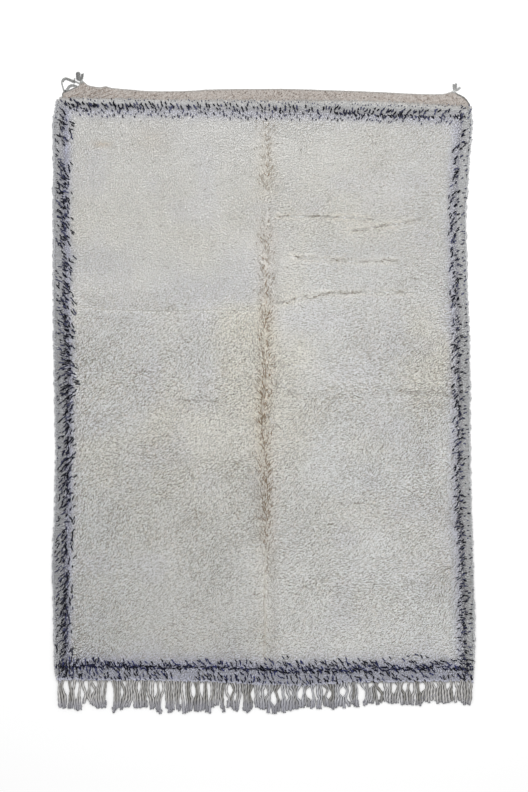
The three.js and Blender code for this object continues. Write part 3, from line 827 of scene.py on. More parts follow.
# Small furrows where rows of knots have parted, each along a line of places (across, down).
FURROWS = [
    [(603, 1385), (673, 1388), (742, 1396), (811, 1388), (892, 1411)],
    [(673, 1396), (788, 1409)],
    [(145, 1876), (217, 1876)],
    [(250, 1899), (308, 1899)],
    [(355, 1925), (465, 1925)],
    [(737, 1693), (766, 1693)],
    [(-708, 1042), (-632, 1042)],
    [(-489, 982), (-355, 982)],
    [(-432, 1114), (-355, 1159)],
    [(-618, 1299), (-522, 1299)],
    [(-546, 1432), (-208, 1435)],
    [(77, 1270), (169, 1270)],
    [(77, 2108), (153, 2108)],
    [(-57, 2123), (12, 2123)],
    [(708, 854), (747, 854)],
    [(719, 570), (750, 565)],
    [(47, 1336), (100, 1362), (150, 1407)],
    [(17, 1498), (84, 1565)],
]
FURROW_WIDTH = 4.0
RIPPLE = 24.0               # how wide the waves are along whose edges the pile opens
RIPPLE_SLOPES = (0.30, 0.14)    # how steeply they rise at the left and at the right
RIPPLE_STRETCH = 0.34       # their width as a share of their length
RIPPLE_WAVER = 14.0, 16.0   # how far they wander along and across
PROBE = 2.0                 # the step over which their steepness is measured
LEAST_STEEP = 0.02


def ripple(x, y):
    """Long low waves that run nearly across the rug; the pile opens along their edges."""
    slope = np.where(x < 0, *RIPPLE_SLOPES)
    along = x + RIPPLE_WAVER[0] * hump(x, y, 55, 82)
    across = y - slope * x + RIPPLE_WAVER[1] * hump(x, y, 75, 83)
    return hump(along * RIPPLE_STRETCH, across, RIPPLE, 84)


def furrow(x, y):
    """How near a place is to a short line where the pile has opened, and which way that line runs."""
    height = ripple(x, y)
    steep_x = (ripple(x + PROBE, y) - height) / PROBE
    steep_y = (ripple(x, y + PROBE) - height) / PROBE
    steep = np.maximum(np.hypot(steep_x, steep_y), LEAST_STEEP)
    line = bell(height / steep, FURROW_WIDTH)
    open_places = smooth(0.1 + 1.0 * hump(x, y, 150, 85) + 0.9 * hump(x, y, 46, 86))
    return line * open_places, np.arctan2(-steep_x, steep_y)


# ---- The pile's colours -----------------------------------------------------------------------------

# The field's ivory near the hem and lower down, at the left and the right: lighter lower down and at the
# right, partly the wool's own tone, partly painted light that offsets the shade of the rough, leaning pile.
IVORY_LEFT = linear((212, 212, 212))
IVORY_RIGHT = linear((217, 217, 216))
IVORY_LOW_LEFT = linear((224, 225, 225))
IVORY_LOW_RIGHT = linear((233, 234, 234))
CREAM = linear((230, 227, 216))
BLUSH = linear((224, 210, 194))
BEIGE = linear((222, 210, 188))
MIST = linear((214, 214, 222))
# TAUPE and OLIVE colour marks of painted shade in the parting and along furrows and creases, partly brown
# wool there.
TAUPE = linear((136, 112, 82))
OLIVE = linear((110, 96, 68))
LAVENDER = linear((180, 181, 196))
ASH = linear((180, 181, 180))
HEM_GREY = linear((176, 170, 164))
INK = linear((12, 13, 22))
INDIGO = linear((66, 70, 116))
SLATE = linear((82, 84, 114))
# Painted shade: the grey-brown of the dark marks where the locks part.
SLIT_SHADE = linear((126, 122, 108))
STAIN_BROWN = linear((202, 184, 160))
# Soft brownish stains: the place across and up, the reach across and up, how strong.
STAINS = [(-761, -203, 44, 16, 0.42), (-530, -180, 90, 70, 0.16)]
# How brown the wool is at the parting and at a crease, and how wide each of them shows.
PARTING_TINT, PARTING_WIDTH = 0.42, 50.0
CREASE_TINT, CREASE_WIDTH = 0.2, 16.0
OUTER_TINT_START, OUTER_TINT_BLEND = 4.0, 12.0
BLUSHING = 0.20             # the share of tufts that have a warmer tint
# How much single tufts differ in tone, in smooth and in rough pile, and how much more at the border and
# where the wool is brown.
TONE_SPREAD = (0.01, 0.042)
BORDER_SPREAD, BORDER_REACH = 0.07, 60.0
BROWN_SPREAD = 0.03
# At the left, the right, the top and the lower end: how far the wool inside the dark line is tinted and how
# much, how blue the wool outside it is, and how much lighter the wool is inside and outside it.
INNER_REACH = np.array([36.0, 36.0, 36.0, 62.0])
INNER_LAVENDER = np.array([1.0, 0.65, 0.65, 1.0])
OUTER_BLUE = np.array([0.25, 0.12, 0.1, 0.75])
INNER_LIGHT = np.array([1.0, 1.0, 1.0, 1.13])
OUTER_LIGHT = np.array([1.0, 1.14, 1.0, 1.13])


def dyed(base, wool, share):
    """A colour for each place, turned towards that of a wool by the place's share."""
    return mix(base, wool, share[:, None])


def parting_share(x, y, width):
    """How near a place is to the parting, where the pile is brown at its roots."""
    across = x - column(PARTING, -y)
    return bell(across, width) * column(PARTING_BROWN, -y)


def crease_share(x, y):
    """How near a place is to one of the creases that cross the pile."""
    share = np.zeros(np.shape(x))
    for depth, _, line in CROSS_CREASES:
        near = bell(line_distance(x, y, line)[0], CREASE_WIDTH)
        share = np.maximum(share, near * depth / DEEPEST_CREASE)
    return share


def pile_colour(x, y, rng):
    """The colour of each tuft from where it is rooted."""
    count = len(x)
    inside, side = border(x, y)
    down = -y / PILE_LENGTH
    rough = ruffle(x, y)
    right = right_share(x, 500.0)
    top, low = dyed(IVORY_LEFT, IVORY_RIGHT, right), dyed(IVORY_LOW_LEFT, IVORY_LOW_RIGHT, right)
    base = dyed(top, low, smooth((down - 0.05) / 0.85))
    patch = smooth(0.45 + 0.8 * hump(x, y, 420, 41) + 0.4 * hump(x, y, 150, 43))
    base = dyed(base, CREAM, patch * mix(0.15, 0.6, smooth(1 - np.abs(down - 0.42) * 2.4)))
    base = dyed(base, MIST, 0.25 * smooth(0.1 + 1.1 * hump(x, y, 130, 45)))
    # Painted light: lighter where the pile is rougher, to offset its deeper shade.
    base = base * mix(column(LIGHTNESS, -y, 1), column(LIGHTNESS, -y, 2), right)[:, None]
    # Single tufts differ in tint as hand-spun wool does.
    draw = rng.random(count)
    tint = (0.1 + 0.3 * rng.random(count)) * np.minimum(rough, 1.0)
    base = dyed(base, BLUSH, tint * (draw < BLUSHING + 0.15 * hump(x, y, 130, 44)))
    brown = np.maximum(PARTING_TINT * parting_share(x, y, PARTING_WIDTH), CREASE_TINT * crease_share(x, y))
    base = dyed(base, BEIGE, brown * (0.5 + 0.5 * rng.random(count)))
    for across, up, reach_x, reach_y, strength in STAINS:
        stain = np.exp(-(((x - across) / reach_x) ** 2) - (((y - up) / reach_y) ** 2))
        base = dyed(base, STAIN_BROWN, strength * stain)
    # The border's wool is greyer outside the dark line and bluer inside it.
    outer = smooth((OUTER_TINT_START - inside) / OUTER_TINT_BLEND)
    inner = bell(np.maximum(inside, 0), INNER_REACH[side])
    base = dyed(base, LAVENDER, INNER_LAVENDER[side] * inner * (1 - outer))
    base = dyed(base, dyed(ASH, LAVENDER, OUTER_BLUE[side]), outer)
    lighter = np.maximum(mix(1.0, INNER_LIGHT[side], inner), mix(1.0, OUTER_LIGHT[side], outer))
    base = base * lighter[:, None]
    at_seam = smooth(1.15 - (seam_at(x) - y) / 26.0) * rng.random(count)
    base = dyed(base, HEM_GREY, at_seam)
    bordering = bell(inside, BORDER_REACH)
    spread = mix(*TONE_SPREAD, np.minimum(rough, 1.1)) + BORDER_SPREAD * bordering + BROWN_SPREAD * brown
    return base * np.exp(spread * rng.standard_normal(count))[:, None]


# ---- Tufts ------------------------------------------------------------------------------------------

TUFT_PITCH = 6.8
TUFT_JITTER = 0.8           # how far a tuft may stand off its place, in pitches
TUFT_STAGGER = 0.5          # how far every second row is shifted, in pitches
TUFT_ROOT = 6.0             # the height at which a tuft leaves the ground weave
TUFT_WIDTH = 7.0
TUFT_RUN = 17.0
TUFT_TURN = (0.12, 0.22)    # how far single tufts turn, and stand up, in smooth and in rough pile
TUFT_RISE = (0.2, 0.35)
BELLY_ALONG, BELLY_UP = 0.46, 0.84      # where a tuft is thickest: its share of the way, and of the height
# Painted shade at each tuft's root, for the shade down among the tufts, and a little painted light at its
# tip.
TUFT_SHADE = np.array([0.82, 1.0, 1.0, 1.0, 1.03])
RIM_INSET = 7.0
RIM_PITCH = 4.2
RIM_JITTER = 2.0
SEAM_CLEARANCE = 3.0        # how far the uppermost tufts are rooted below the seam
# The pile hangs over the rim in lobes: their pitch, and how far they reach past the edge.
LOBE_PITCH = 46.0
LOBE_REACH = 11.0
LOWER_LOBES = 1.6           # how much further they reach at the lower end
# Every fourth tuft may reach a little past its lobe, and the others end short of it.
RAGGED_SHARE, RAGGED_OUT, RAGGED_IN = 0.25, 5.0, -4.0
LOWER_RAGGED = 3.5          # how much more ragged the lower end is
HANGING_START, HANGING_BLEND = 6.0, 16.0    # how far inside the rim the tips begin to hang, and how softly
HANGING_LOW, HANGING_SPREAD = 3.0, 6.0  # how high the tips are that hang over a rim


def lobe_reach(place, seed):
    """How far the lobes at a rim reach past its edge, at a place along it."""
    phase = place / LOBE_PITCH + 0.7 * hump(place, np.zeros(np.shape(place)), 130, seed)
    lobe = np.floor(phase)
    crown = 1.0 - np.abs(2.0 * (phase - lobe) - 1.0) ** 2.6
    return LOBE_REACH * mix(0.15, 1.0, crown) * mix(0.6, 1.2, chance(lobe, 1, seed))


def past_edge(x, y):
    """How far a place lies past the lobes' ends, at whichever rim is nearest."""
    over_left = left_at(y) - x - lobe_reach(-y, 31)
    over_right = x - right_at(y) - lobe_reach(-y, 32)
    over_lower = lower_edge_at(x) - y - LOWER_LOBES * lobe_reach(x, 33)
    return over_left, over_right, over_lower


def jittered_grid(xs, ys, pitch, jitter, stagger, rng):
    """Places in a grid, each a little off its own, and every second row shifted."""
    x, y = (grid.ravel() for grid in np.meshgrid(xs, ys))
    x = x + pitch * (stagger * (np.round(y / pitch) % 2) + jitter * (rng.random(len(x)) - 0.5))
    y = y + pitch * jitter * (rng.random(len(y)) - 0.5)
    return x, y


def tuft_roots(rng):
    """Jittered places over the whole pile, one for each tuft."""
    xs, ys = np.arange(-1010.0, 1010.0, TUFT_PITCH), np.arange(-2800.0, 20.0, TUFT_PITCH)
    x, y = jittered_grid(xs, ys, TUFT_PITCH, TUFT_JITTER, TUFT_STAGGER, rng)
    keep = (rim_distance(x, y) > RIM_INSET) & (y < seam_at(x) - SEAM_CLEARANCE)
    return x[keep], y[keep]


def rim_roots(rng):
    """Places close along the two sides and the lower edge, for the pile that hangs over them."""
    sides, lower = np.arange(-2772.0, 4.0, RIM_PITCH), np.arange(-985.0, 990.0, RIM_PITCH)
    x = np.concatenate([left_at(sides) + 4.0, right_at(sides) - 4.0, lower])
    y = np.concatenate([sides, sides, lower_edge_at(lower) + 4.0])
    within = y < seam_at(x) - SEAM_CLEARANCE
    x, y = np.tile(x[within], 2), np.tile(y[within], 2)
    x = x + rng.uniform(-RIM_JITTER, RIM_JITTER, len(x))
    return x, y + rng.uniform(-RIM_JITTER, RIM_JITTER, len(y))


def tuft_corners(root_x, root_y, lean_x, lean_y, rng):
    """The five corners of each tuft."""
    count = len(root_x)
    rough = ruffle(root_x, root_y)
    turn = mix(*TUFT_TURN, np.minimum(rough, 1.0)) * rng.standard_normal(count)
    lean_x, lean_y = (
        lean_x * np.cos(turn) - lean_y * np.sin(turn),
        lean_x * np.sin(turn) + lean_y * np.cos(turn),
    )
    flatness = np.hypot(lean_x, lean_y)
    run = TUFT_RUN * np.clip(flatness, 0.35, 1.15) * varied(count, rng)
    tip_x, tip_y = root_x + run * lean_x / flatness, root_y + run * lean_y / flatness
    rise = mix(*TUFT_RISE, rough) * np.clip(rng.standard_normal(count), -2, 2)
    width = TUFT_WIDTH * varied(count, rng)
    return lying_tufts(root_x, root_y, tip_x, tip_y, rise, width, 1.0, rng)


def lying_tufts(root_x, root_y, tip_x, tip_y, rise, width, depth, rng):
    """Tufts that lie over the pile, kept within the lobes at the rim; depth 1 starts them at the ground."""
    count = len(root_x)
    ragged = np.where(rng.random(count) < RAGGED_SHARE, RAGGED_OUT, RAGGED_IN) * rng.random(count)
    over_left, over_right, over_lower = past_edge(tip_x, tip_y)
    tip_x = tip_x + np.maximum(over_left - ragged, 0.0) - np.maximum(over_right - ragged, 0.0)
    tip_y = tip_y + np.maximum(over_lower - LOWER_RAGGED * ragged, 0.0)
    top = pile_height(mix(root_x, tip_x, 0.5), mix(root_y, tip_y, 0.5)) + rise
    past_rim = smooth(-(rim_distance(tip_x, tip_y) - HANGING_START) / HANGING_BLEND)
    tip_z = mix(top, HANGING_LOW + HANGING_SPREAD * rng.random(count), past_rim)
    root_z = mix(top - 3.0, np.minimum(TUFT_ROOT, 0.5 * top), depth)
    root, tip = np.column_stack([root_x, root_y, root_z]), np.column_stack([tip_x, tip_y, tip_z])
    middle = mix(root, tip, BELLY_ALONG)
    middle[:, 2] = mix(root_z, np.maximum(top, tip_z), BELLY_UP)
    return spindles(root, middle, tip, width, rng.uniform(-0.2, 0.2, count))


def stroke_places(side, place, inside):
    """Where on the rug a stroke starts, from its place along a side and across the dark line."""
    if side == SIDE_LEFT:
        return column(LEFT_CORE, place) + inside, -place
    if side == SIDE_RIGHT:
        return column(RIGHT_CORE, place) - inside, -place
    if side == SIDE_TOP:
        return place, column(TOP_CORE, place) - inside
    return place, column(LOWER_CORE, place) + inside


def stroke_rows(x, y, angle, length, width, colour):
    """A row for each stroke: where it starts and ends, its width and its colour."""
    return np.column_stack([x, y, x + length * np.cos(angle), y + length * np.sin(angle), width, colour])


def row_places(row, rng):
    """Where the strokes of one of the border's rows start, along their side and inside the dark line."""
    side, start, end, pitch, first, last, _, _, _, together, blackness, _ = row
    place = np.arange(start, end, pitch, float)
    place = place + pitch * 0.5 * (rng.random(len(place)) - 0.5)
    inside = rng.uniform(first, last, len(place))
    place, inside = np.repeat(place, together), np.repeat(inside, together)
    if together > 1:
        place = place + rng.uniform(-BUNCH_ALONG, BUNCH_ALONG, len(place))
        inside = inside + rng.uniform(-BUNCH_ACROSS, BUNCH_ACROSS, len(place))
    crowd = 1.0 + 0.7 * hump(place, inside, 45, 51 + side) + 0.4 * hump(place, inside, 120, 55 + side)
    crowd = np.maximum(smooth(crowd), float(blackness > SOLID))
    kept = rng.random(len(place)) < crowd
    return place[kept], inside[kept]


def dark_strokes(rng):
    """The dark tufts of the border."""
    parts = []
    for row in STROKE_ROWS:
        side, _, _, _, _, _, shortest, longest, width, _, blackness, turn = row
        place, inside = row_places(row, rng)
        x, y = stroke_places(side, place, inside)
        count = len(x)
        slants = STROKE_SLANTS[side]
        slant = turn + mix(column(slants, place), column(slants, place, 2), smooth(0.5 + inside / 10.0))
        angle = np.radians(slant) + STROKE_SCATTER * rng.standard_normal(count)
        bend = STROKE_BEND * rng.standard_normal(count)
        length = rng.uniform(shortest, longest, count)
        ink = dyed(INK, INDIGO if side == SIDE_LOWER else SLATE, rng.random(count) ** blackness)
        breadth = width * varied(count, rng)
        for step in range(STROKE_TUFTS):
            going = length > STROKE_STEP * step + SHORTEST_TUFT * (step > 0)
            turned = angle + bend * step
            reach = np.minimum(length - STROKE_STEP * step, STROKE_STEP + STROKE_LAP)
            parts.append(stroke_rows(x, y, turned, reach, breadth, ink)[going])
            x = x + STROKE_STEP * np.cos(turned)
            y = y + STROKE_STEP * np.sin(turned)
    strokes = np.concatenate(parts)
    x, y = strokes[:, 0], strokes[:, 1]
    return strokes[(rim_distance(x, y) > 3.0) & (y < seam_at(x) + 4.0)]


# Painted shade: thin dark marks where the locks part and along furrows and creases, for the shadow in those
# gaps, partly brown wool in the parting and the creases.
MARK_PITCH = 7.5
MARK_LENGTH = (8.0, 20.0)
MARK_WIDTH = 3.8
LINE_MARK_PITCH = 6.5
LINE_MARK_SCATTER = 3.6
LINE_MARK_LENGTH = (12.0, 24.0)
LINE_MARK_WIDTH = (3.2, 4.8)
# How likely a mark of painted shade is at each place: anywhere, in rough pile, at a furrow and in the
# parting.
PLAIN_ODDS, ROUGH_ODDS, FURROW_ODDS, PARTING_ODDS = 0.02, 0.06, 0.5, 0.22
PARTED_REACH = 54.0         # how far from its middle the parting is open
# How far the marks and the border's strokes stand up, and where in the pile they start: 1 is the ground.
MARK_RISE, MARK_DEPTH = (1.4, 3.4), 0.2
STROKE_RISE, STROKE_DEPTH = (2.0, 4.5), 0.1
MARK_INSET = 26.0           # how far inside the border's dark line the first of them lie
PARTING_SLANT = 0.55        # how steeply the marks of the parting run to its middle
SLANT_REACH = 24.0          # how far from the middle they have their full slant
MARK_SCATTER = (0.3, 0.18)  # how much their directions differ, in the field and in the parting
MARK_STRETCH = (0.85, 1.7)  # how much longer they are, in the field and in the parting
MARK_PALENESS = (0.85, 0.1)     # the palest and the darkest painted shade mark of the field
FURROW_STRENGTH, CREASE_STRENGTH = 0.8, 0.9     # how dark the painted shade marks along furrows and creases are


def opened_places(rng):
    """Painted shade where the locks part: thin dark marks in their gaps, as rows like those of the dark
    strokes.
    """
    xs, ys = np.arange(-940.0, 945.0, MARK_PITCH), np.arange(-2690.0, -20.0, MARK_PITCH)
    x, y = jittered_grid(xs, ys, MARK_PITCH, 1.0, 0.0, rng)
    rough = ruffle(x, y)
    across = x - column(PARTING, -y)
    parted = np.exp(-((across / PARTED_REACH) ** 4)) * column(PARTING_BROWN, -y)
    near_furrow, furrow_angle = furrow(x, y)
    near_furrow = near_furrow * smooth(rough * 1.2 - 0.3)
    odds = PLAIN_ODDS + ROUGH_ODDS * rough**2 * (1.0 + 0.7 * hump(x, y, 38, 95))
    odds = odds + FURROW_ODDS * near_furrow + PARTING_ODDS * parted
    kept = (rng.random(len(x)) < odds) & (border(x, y)[0] > MARK_INSET)
    x, y, across, parted, near_furrow, furrow_angle = (
        values[kept] for values in (x, y, across, parted, near_furrow, furrow_angle)
    )
    count = len(x)
    lean_x, lean_y = lean(x, y)
    angle = np.where(rng.random(count) < 1.4 * near_furrow, furrow_angle, np.arctan2(lean_y, lean_x))
    to_middle = -0.5 * np.pi - PARTING_SLANT * np.clip(across / SLANT_REACH, -1.0, 1.0)
    angle = np.where(rng.random(count) < 2.0 * parted, to_middle, angle)
    angle = angle + mix(*MARK_SCATTER, parted) * rng.standard_normal(count)
    length = rng.uniform(*MARK_LENGTH, count) * mix(*MARK_STRETCH, smooth(parted * 2))
    # Painted shade: grey-brown marks, browner and partly brown wool in the parting.
    colour = dyed(SLIT_SHADE, TAUPE, np.clip(1.2 * parted + 0.25 * rng.random(count), 0, 1))
    pale = mix(*MARK_PALENESS, rng.random(count))
    pale = pale * mix(1.0, 0.1, np.clip(parted + 0.5 * near_furrow, 0, 1))
    colour = dyed(colour, IVORY_LOW_LEFT, pale)
    width = MARK_WIDTH * mix(1.0, 0.9, parted) * varied(count, rng)
    parts = [stroke_rows(x, y, angle, length, width, colour)]
    parts += [line_marks(line, FURROW_STRENGTH, rng) for line in FURROWS]
    parts += [line_marks(line, CREASE_STRENGTH, rng) for _, _, line in CROSS_CREASES]
    return np.concatenate(parts)


def line_marks(line, strength, rng):
    """Marks of painted shade, partly brown wool, end to end along one line of places."""
    places = np.array([(x, -y) for x, y in line], float)
    run = run_along(places)
    at = np.arange(0.0, run[-1], LINE_MARK_PITCH)
    at = at + rng.uniform(-4.0, 4.0, len(at))
    (x, y), ahead = ([np.interp(where, run, values) for values in places.T] for where in (at, at + 6.0))
    angle = np.arctan2(ahead[1] - y, ahead[0] - x + 1e-6) + 0.26 * rng.standard_normal(len(at))
    y = y + 3.0 * hump(x, y, 40, 87) + rng.normal(0.0, LINE_MARK_SCATTER, len(at))
    length = rng.uniform(*LINE_MARK_LENGTH, len(at))
    share = strength * smooth(0.7 + 0.9 * hump(x, y, 34, 88)) * rng.uniform(0.5, 1.0, len(at))
    colour = dyed(IVORY_LOW_RIGHT, OLIVE, share)
    return stroke_rows(x, y, angle, length, rng.uniform(*LINE_MARK_WIDTH, len(at)), colour)


def dash_strength(x, y):
    """How strong the painted shade lines in the pile are: none at the border, and fewer at the parting."""
    open_field = smooth((border(x, y)[0] - 20.0) / 40.0)
    open_field = open_field * (1.0 - 0.7 * np.clip(parting_share(x, y, PARTING_WIDTH), 0, 1))
    return np.clip(1.15 * ruffle(x, y) - 0.12, 0.0, 1.0) * open_field * mix(1.0, 0.8, right_share(x, 300.0))


def add_pile(rng):
    """The whole pile: tufts over the ground, a second, closer row at the rims, the marks of painted shade
    where the locks part, and the border's dark wool.
    """
    root_x, root_y = np.concatenate([tuft_roots(rng), rim_roots(rng)], axis=1)
    colour = pile_colour(root_x, root_y, rng)
    corners = tuft_corners(root_x, root_y, *lean(root_x, root_y), rng)
    marks = opened_places(rng)
    mark_rise = rng.uniform(*MARK_RISE, len(marks))
    mark_corners = lying_tufts(*marks[:, :4].T, mark_rise, marks[:, 4], MARK_DEPTH, rng)
    strokes = dark_strokes(rng)
    stroke_rise = rng.uniform(*STROKE_RISE, len(strokes))
    stroke_corners = lying_tufts(*strokes[:, :4].T, stroke_rise, strokes[:, 4], STROKE_DEPTH, rng)
    corners = np.concatenate([corners, mark_corners, stroke_corners])
    colour = np.concatenate([colour, marks[:, 5:], strokes[:, 5:]])
    dashes = np.zeros(len(corners))
    dashes[:len(root_x)] = dash_strength(root_x, root_y)
    pieces = []
    banks = np.array_split(np.argsort(corners[:, 0, 0]), len(PILE_WOOLS))
    for number, (chosen, wool) in enumerate(zip(banks, PILE_WOOLS)):
        shade = np.broadcast_to(TUFT_SHADE, (len(chosen), SPINDLE_CORNERS))
        name = f"pile_{number + 1}"
        piece = add_spindles(name, corners[chosen], colour[chosen], shade, wool, dashes[chosen])
        pieces.append(piece)
    return pieces


# ---- The ground weave under the pile ----------------------------------------------------------------

GROUND_COLUMNS = 90
GROUND_ROWS = 126
GROUND_SHARE = (0.80, 0.58)  # how high the ground stands in smooth and in rough pile
SEAM_INSET = 2.0
# The ground's colour under smooth pile, and under rough pile darker: painted shade in its deeper gaps.
GROUND_SMOOTH = linear((206, 205, 203))
GROUND_ROUGH_SHADE = linear((184, 182, 176))
GROUND_BORDER = linear((68, 70, 98))
# How dark the ground is under the border's line, at the top and elsewhere, and how wide that shows.
TOP_SHADOW, SIDE_SHADOW, SHADOW_WIDTH = 0.55, 0.65, 28.0
GROUND_PARTING = linear((186, 168, 140))


def add_ground():
    """The knotted ground that the tufts stand in: one closed slab that follows the humps and creases."""
    share_x, share_y = np.meshgrid(np.linspace(0, 1, GROUND_COLUMNS + 1), np.linspace(0, 1, GROUND_ROWS + 1))
    y = -share_y * PILE_LENGTH
    x = mix(left_at(y) + RIM_INSET, right_at(y) - RIM_INSET, share_x)
    y = mix(seam_at(x) - SEAM_INSET, lower_edge_at(x) + RIM_INSET, share_y)
    top = pile_height(x, y) * mix(*GROUND_SHARE, np.clip(ruffle(x, y), 0.0, 1.0))
    grid, (a, b, c, d) = grid_corners(GROUND_COLUMNS, GROUND_ROWS)
    rim = np.concatenate([grid[:-1, 0], grid[-1, :-1], grid[:0:-1, -1], grid[0, :0:-1]])
    points = np.stack([x.ravel(), y.ravel(), top.ravel()], axis=1)
    foot = points[rim] * (1, 1, 0)
    around = len(points) + np.arange(len(rim))
    following = np.roll(around, -1)
    centre = len(points) + len(rim)
    points = np.concatenate([points, foot, [(0, -PILE_LENGTH / 2, 0)]])
    faces = np.concatenate([
        np.stack([a, d, c], 1), np.stack([a, c, b], 1),
        np.stack([rim, around, following], 1), np.stack([rim, following, np.roll(rim, -1)], 1),
        np.stack([np.full(len(rim), centre), following, around], 1),
    ])
    x, y = points[:, 0], points[:, 1]
    inside, side = border(x, y)
    # Painted shade: the ground darker where the pile is rough and its gaps deep.
    colours = dyed(GROUND_SMOOTH, GROUND_ROUGH_SHADE, np.clip(ruffle(x, y), 0.0, 1.0))
    shadow = np.where(side == SIDE_TOP, TOP_SHADOW, SIDE_SHADOW) * bell(inside, SHADOW_WIDTH)
    colours = dyed(colours, GROUND_BORDER, shadow)
    colours = dyed(colours, GROUND_PARTING, 0.25 * parting_share(x, y, 40.0))
    faces = outward(points, faces)
    piece = new_piece("pile_ground", points, faces, GROUND_WOOL, colours, dashes=dash_strength(x, y))
    return piece


# ---- The hem ----------------------------------------------------------------------------------------

HEM_COLUMNS = 640
HEM_ROWS = 24
HEM_WOOL_LIGHT = linear((159, 153, 148))
# HEM_WOOL_DEEP: painted shade in the hem's folds, and, darker still, the colour of its dark specks.
HEM_WOOL_DEEP = linear((112, 98, 88))
HEM_EDGE_WOOL = linear((146, 143, 140))
HEM_SPOT_WOOL = linear((70, 60, 56))
HEM_RELIEF = 0.8            # how far the weave stands up between its folds
HEM_EDGE_LEVEL = 2.6
HEM_EDGE_ROUNDING = 7.0
FOLD_DEPTH = 2.6
FOLD_SLOPE = 0.44           # the folds at the left rise this much towards the tie
FOLD_PITCH = 21.0
# How strong the oblique folds are along the hem.
FOLD_STRENGTH = np.array([(-954, 1.0), (-700, 1.0), (-560, 0.55), (-420, 0.3), (-200, 0.12), (964, 0.12)])
FOLD_SPACING = 0.915        # what a step up the rug is across the folds at the left, and at the right
RIGHT_FOLD_SPACING = 0.78
FOLD_WIDTH, RIGHT_FOLD_WIDTH = 0.26, 0.25   # as shares of the pitch
RIGHT_FOLD_PITCH = 1.6 * FOLD_PITCH
RIGHT_FOLD_SLOPE = -0.8
RIGHT_FOLDS = np.array([(-954, 0), (620, 0), (720, 0.6), (880, 0.7), (964, 0.5)])
HEM_SPOT = from_photo(89.2, 95.5)
HEM_SPECK = (4.1, 3.7)      # the size of the dark specks
SPECK_CROWD = (0.06, 0.15)  # what share of places has one, away from the middle and there
EDGE_CORD_WOOL = linear((170, 168, 164))
EDGE_CORD_RADIUS = (2.4, 3.8)   # at the left, and at the right corner
EDGE_CORD_DARK = 0.42           # its shade at the two corners
EDGE_CORD_STEPS = 330


def hem_folds(x, y):
    """How deep a place lies in the creases that the corner ties draw into the hem, from 0 to 1."""
    waver = 5.0 * hump(x, y, 70, 141) + 1.5 * hump(x, y, 24, 142)
    left = np.sin(np.pi * ((y - FOLD_SLOPE * x) * FOLD_SPACING + waver) / FOLD_PITCH)
    right = np.sin(np.pi * ((y - RIGHT_FOLD_SLOPE * x) * RIGHT_FOLD_SPACING + waver) / RIGHT_FOLD_PITCH)
    broken = smooth(0.75 + 0.9 * hump(x, y, 42, 148))
    deep = column(FOLD_STRENGTH, x) * bell(left, FOLD_WIDTH)
    deep = np.maximum(deep, column(RIGHT_FOLDS, x) * bell(right, RIGHT_FOLD_WIDTH))
    return deep * broken


def add_hem():
    """The flat-woven hem: a closed sheet with its folds and its weave raised."""
    share_x, share_y = np.meshgrid(np.linspace(0, 1, HEM_COLUMNS + 1), np.linspace(0, 1, HEM_ROWS + 1))
    x = mix(HEM_EDGE[0, 0], HEM_EDGE[-1, 0], share_x)
    edge = column(HEM_EDGE, x)
    y = mix(seam_at(x) - HEM_TUCK, edge, share_y)
    weave = hump(x, y, 5.2, 143) + 0.6 * hump(x, y, 9.0, 144)
    top = HEM_THICKNESS + HEM_RELIEF - FOLD_DEPTH * hem_folds(x, y) + 0.9 * weave
    top = mix(HEM_EDGE_LEVEL, top, smooth((edge - y) / HEM_EDGE_ROUNDING))
    grid, (a, b, c, d) = grid_corners(HEM_COLUMNS, HEM_ROWS)
    points = np.stack([x.ravel(), y.ravel(), top.ravel()], axis=1)
    rim = np.concatenate([grid[0, :-1], grid[:-1, -1], grid[-1, :0:-1], grid[:0:-1, 0]])
    foot = len(points) + np.arange(len(rim))
    points = np.concatenate([points, points[rim] * (1, 1, 0) + (0, 0, FLOOR_GAP)])
    # The underside is flat: strips between the feet of the two long edges.
    near = foot[:HEM_COLUMNS + 1]
    far = foot[HEM_COLUMNS + HEM_ROWS:2 * HEM_COLUMNS + HEM_ROWS + 1][::-1]
    side_right = foot[HEM_COLUMNS:HEM_COLUMNS + HEM_ROWS + 1]
    side_left = np.append(foot[2 * HEM_COLUMNS + HEM_ROWS:], foot[0])[::-1]
    faces = np.concatenate([
        np.stack([a, b, c], 1), np.stack([a, c, d], 1),
        np.stack([rim, foot, np.roll(foot, -1)], 1), np.stack([rim, np.roll(foot, -1), np.roll(rim, -1)], 1),
        np.stack([near[:-1], far[1:], near[1:]], 1), np.stack([near[:-1], far[:-1], far[1:]], 1),
        np.stack([np.full(HEM_ROWS - 1, near[-1]), side_right[2:], side_right[1:-1]], 1),
        np.stack([np.full(HEM_ROWS - 1, near[0]), side_left[1:-1], side_left[2:]], 1),
    ])
    colours = hem_colours(points[:, 0], points[:, 1])
    piece = new_piece("hem_weave", points, outward(points, faces), HEM_WOOL, colours)
    return piece


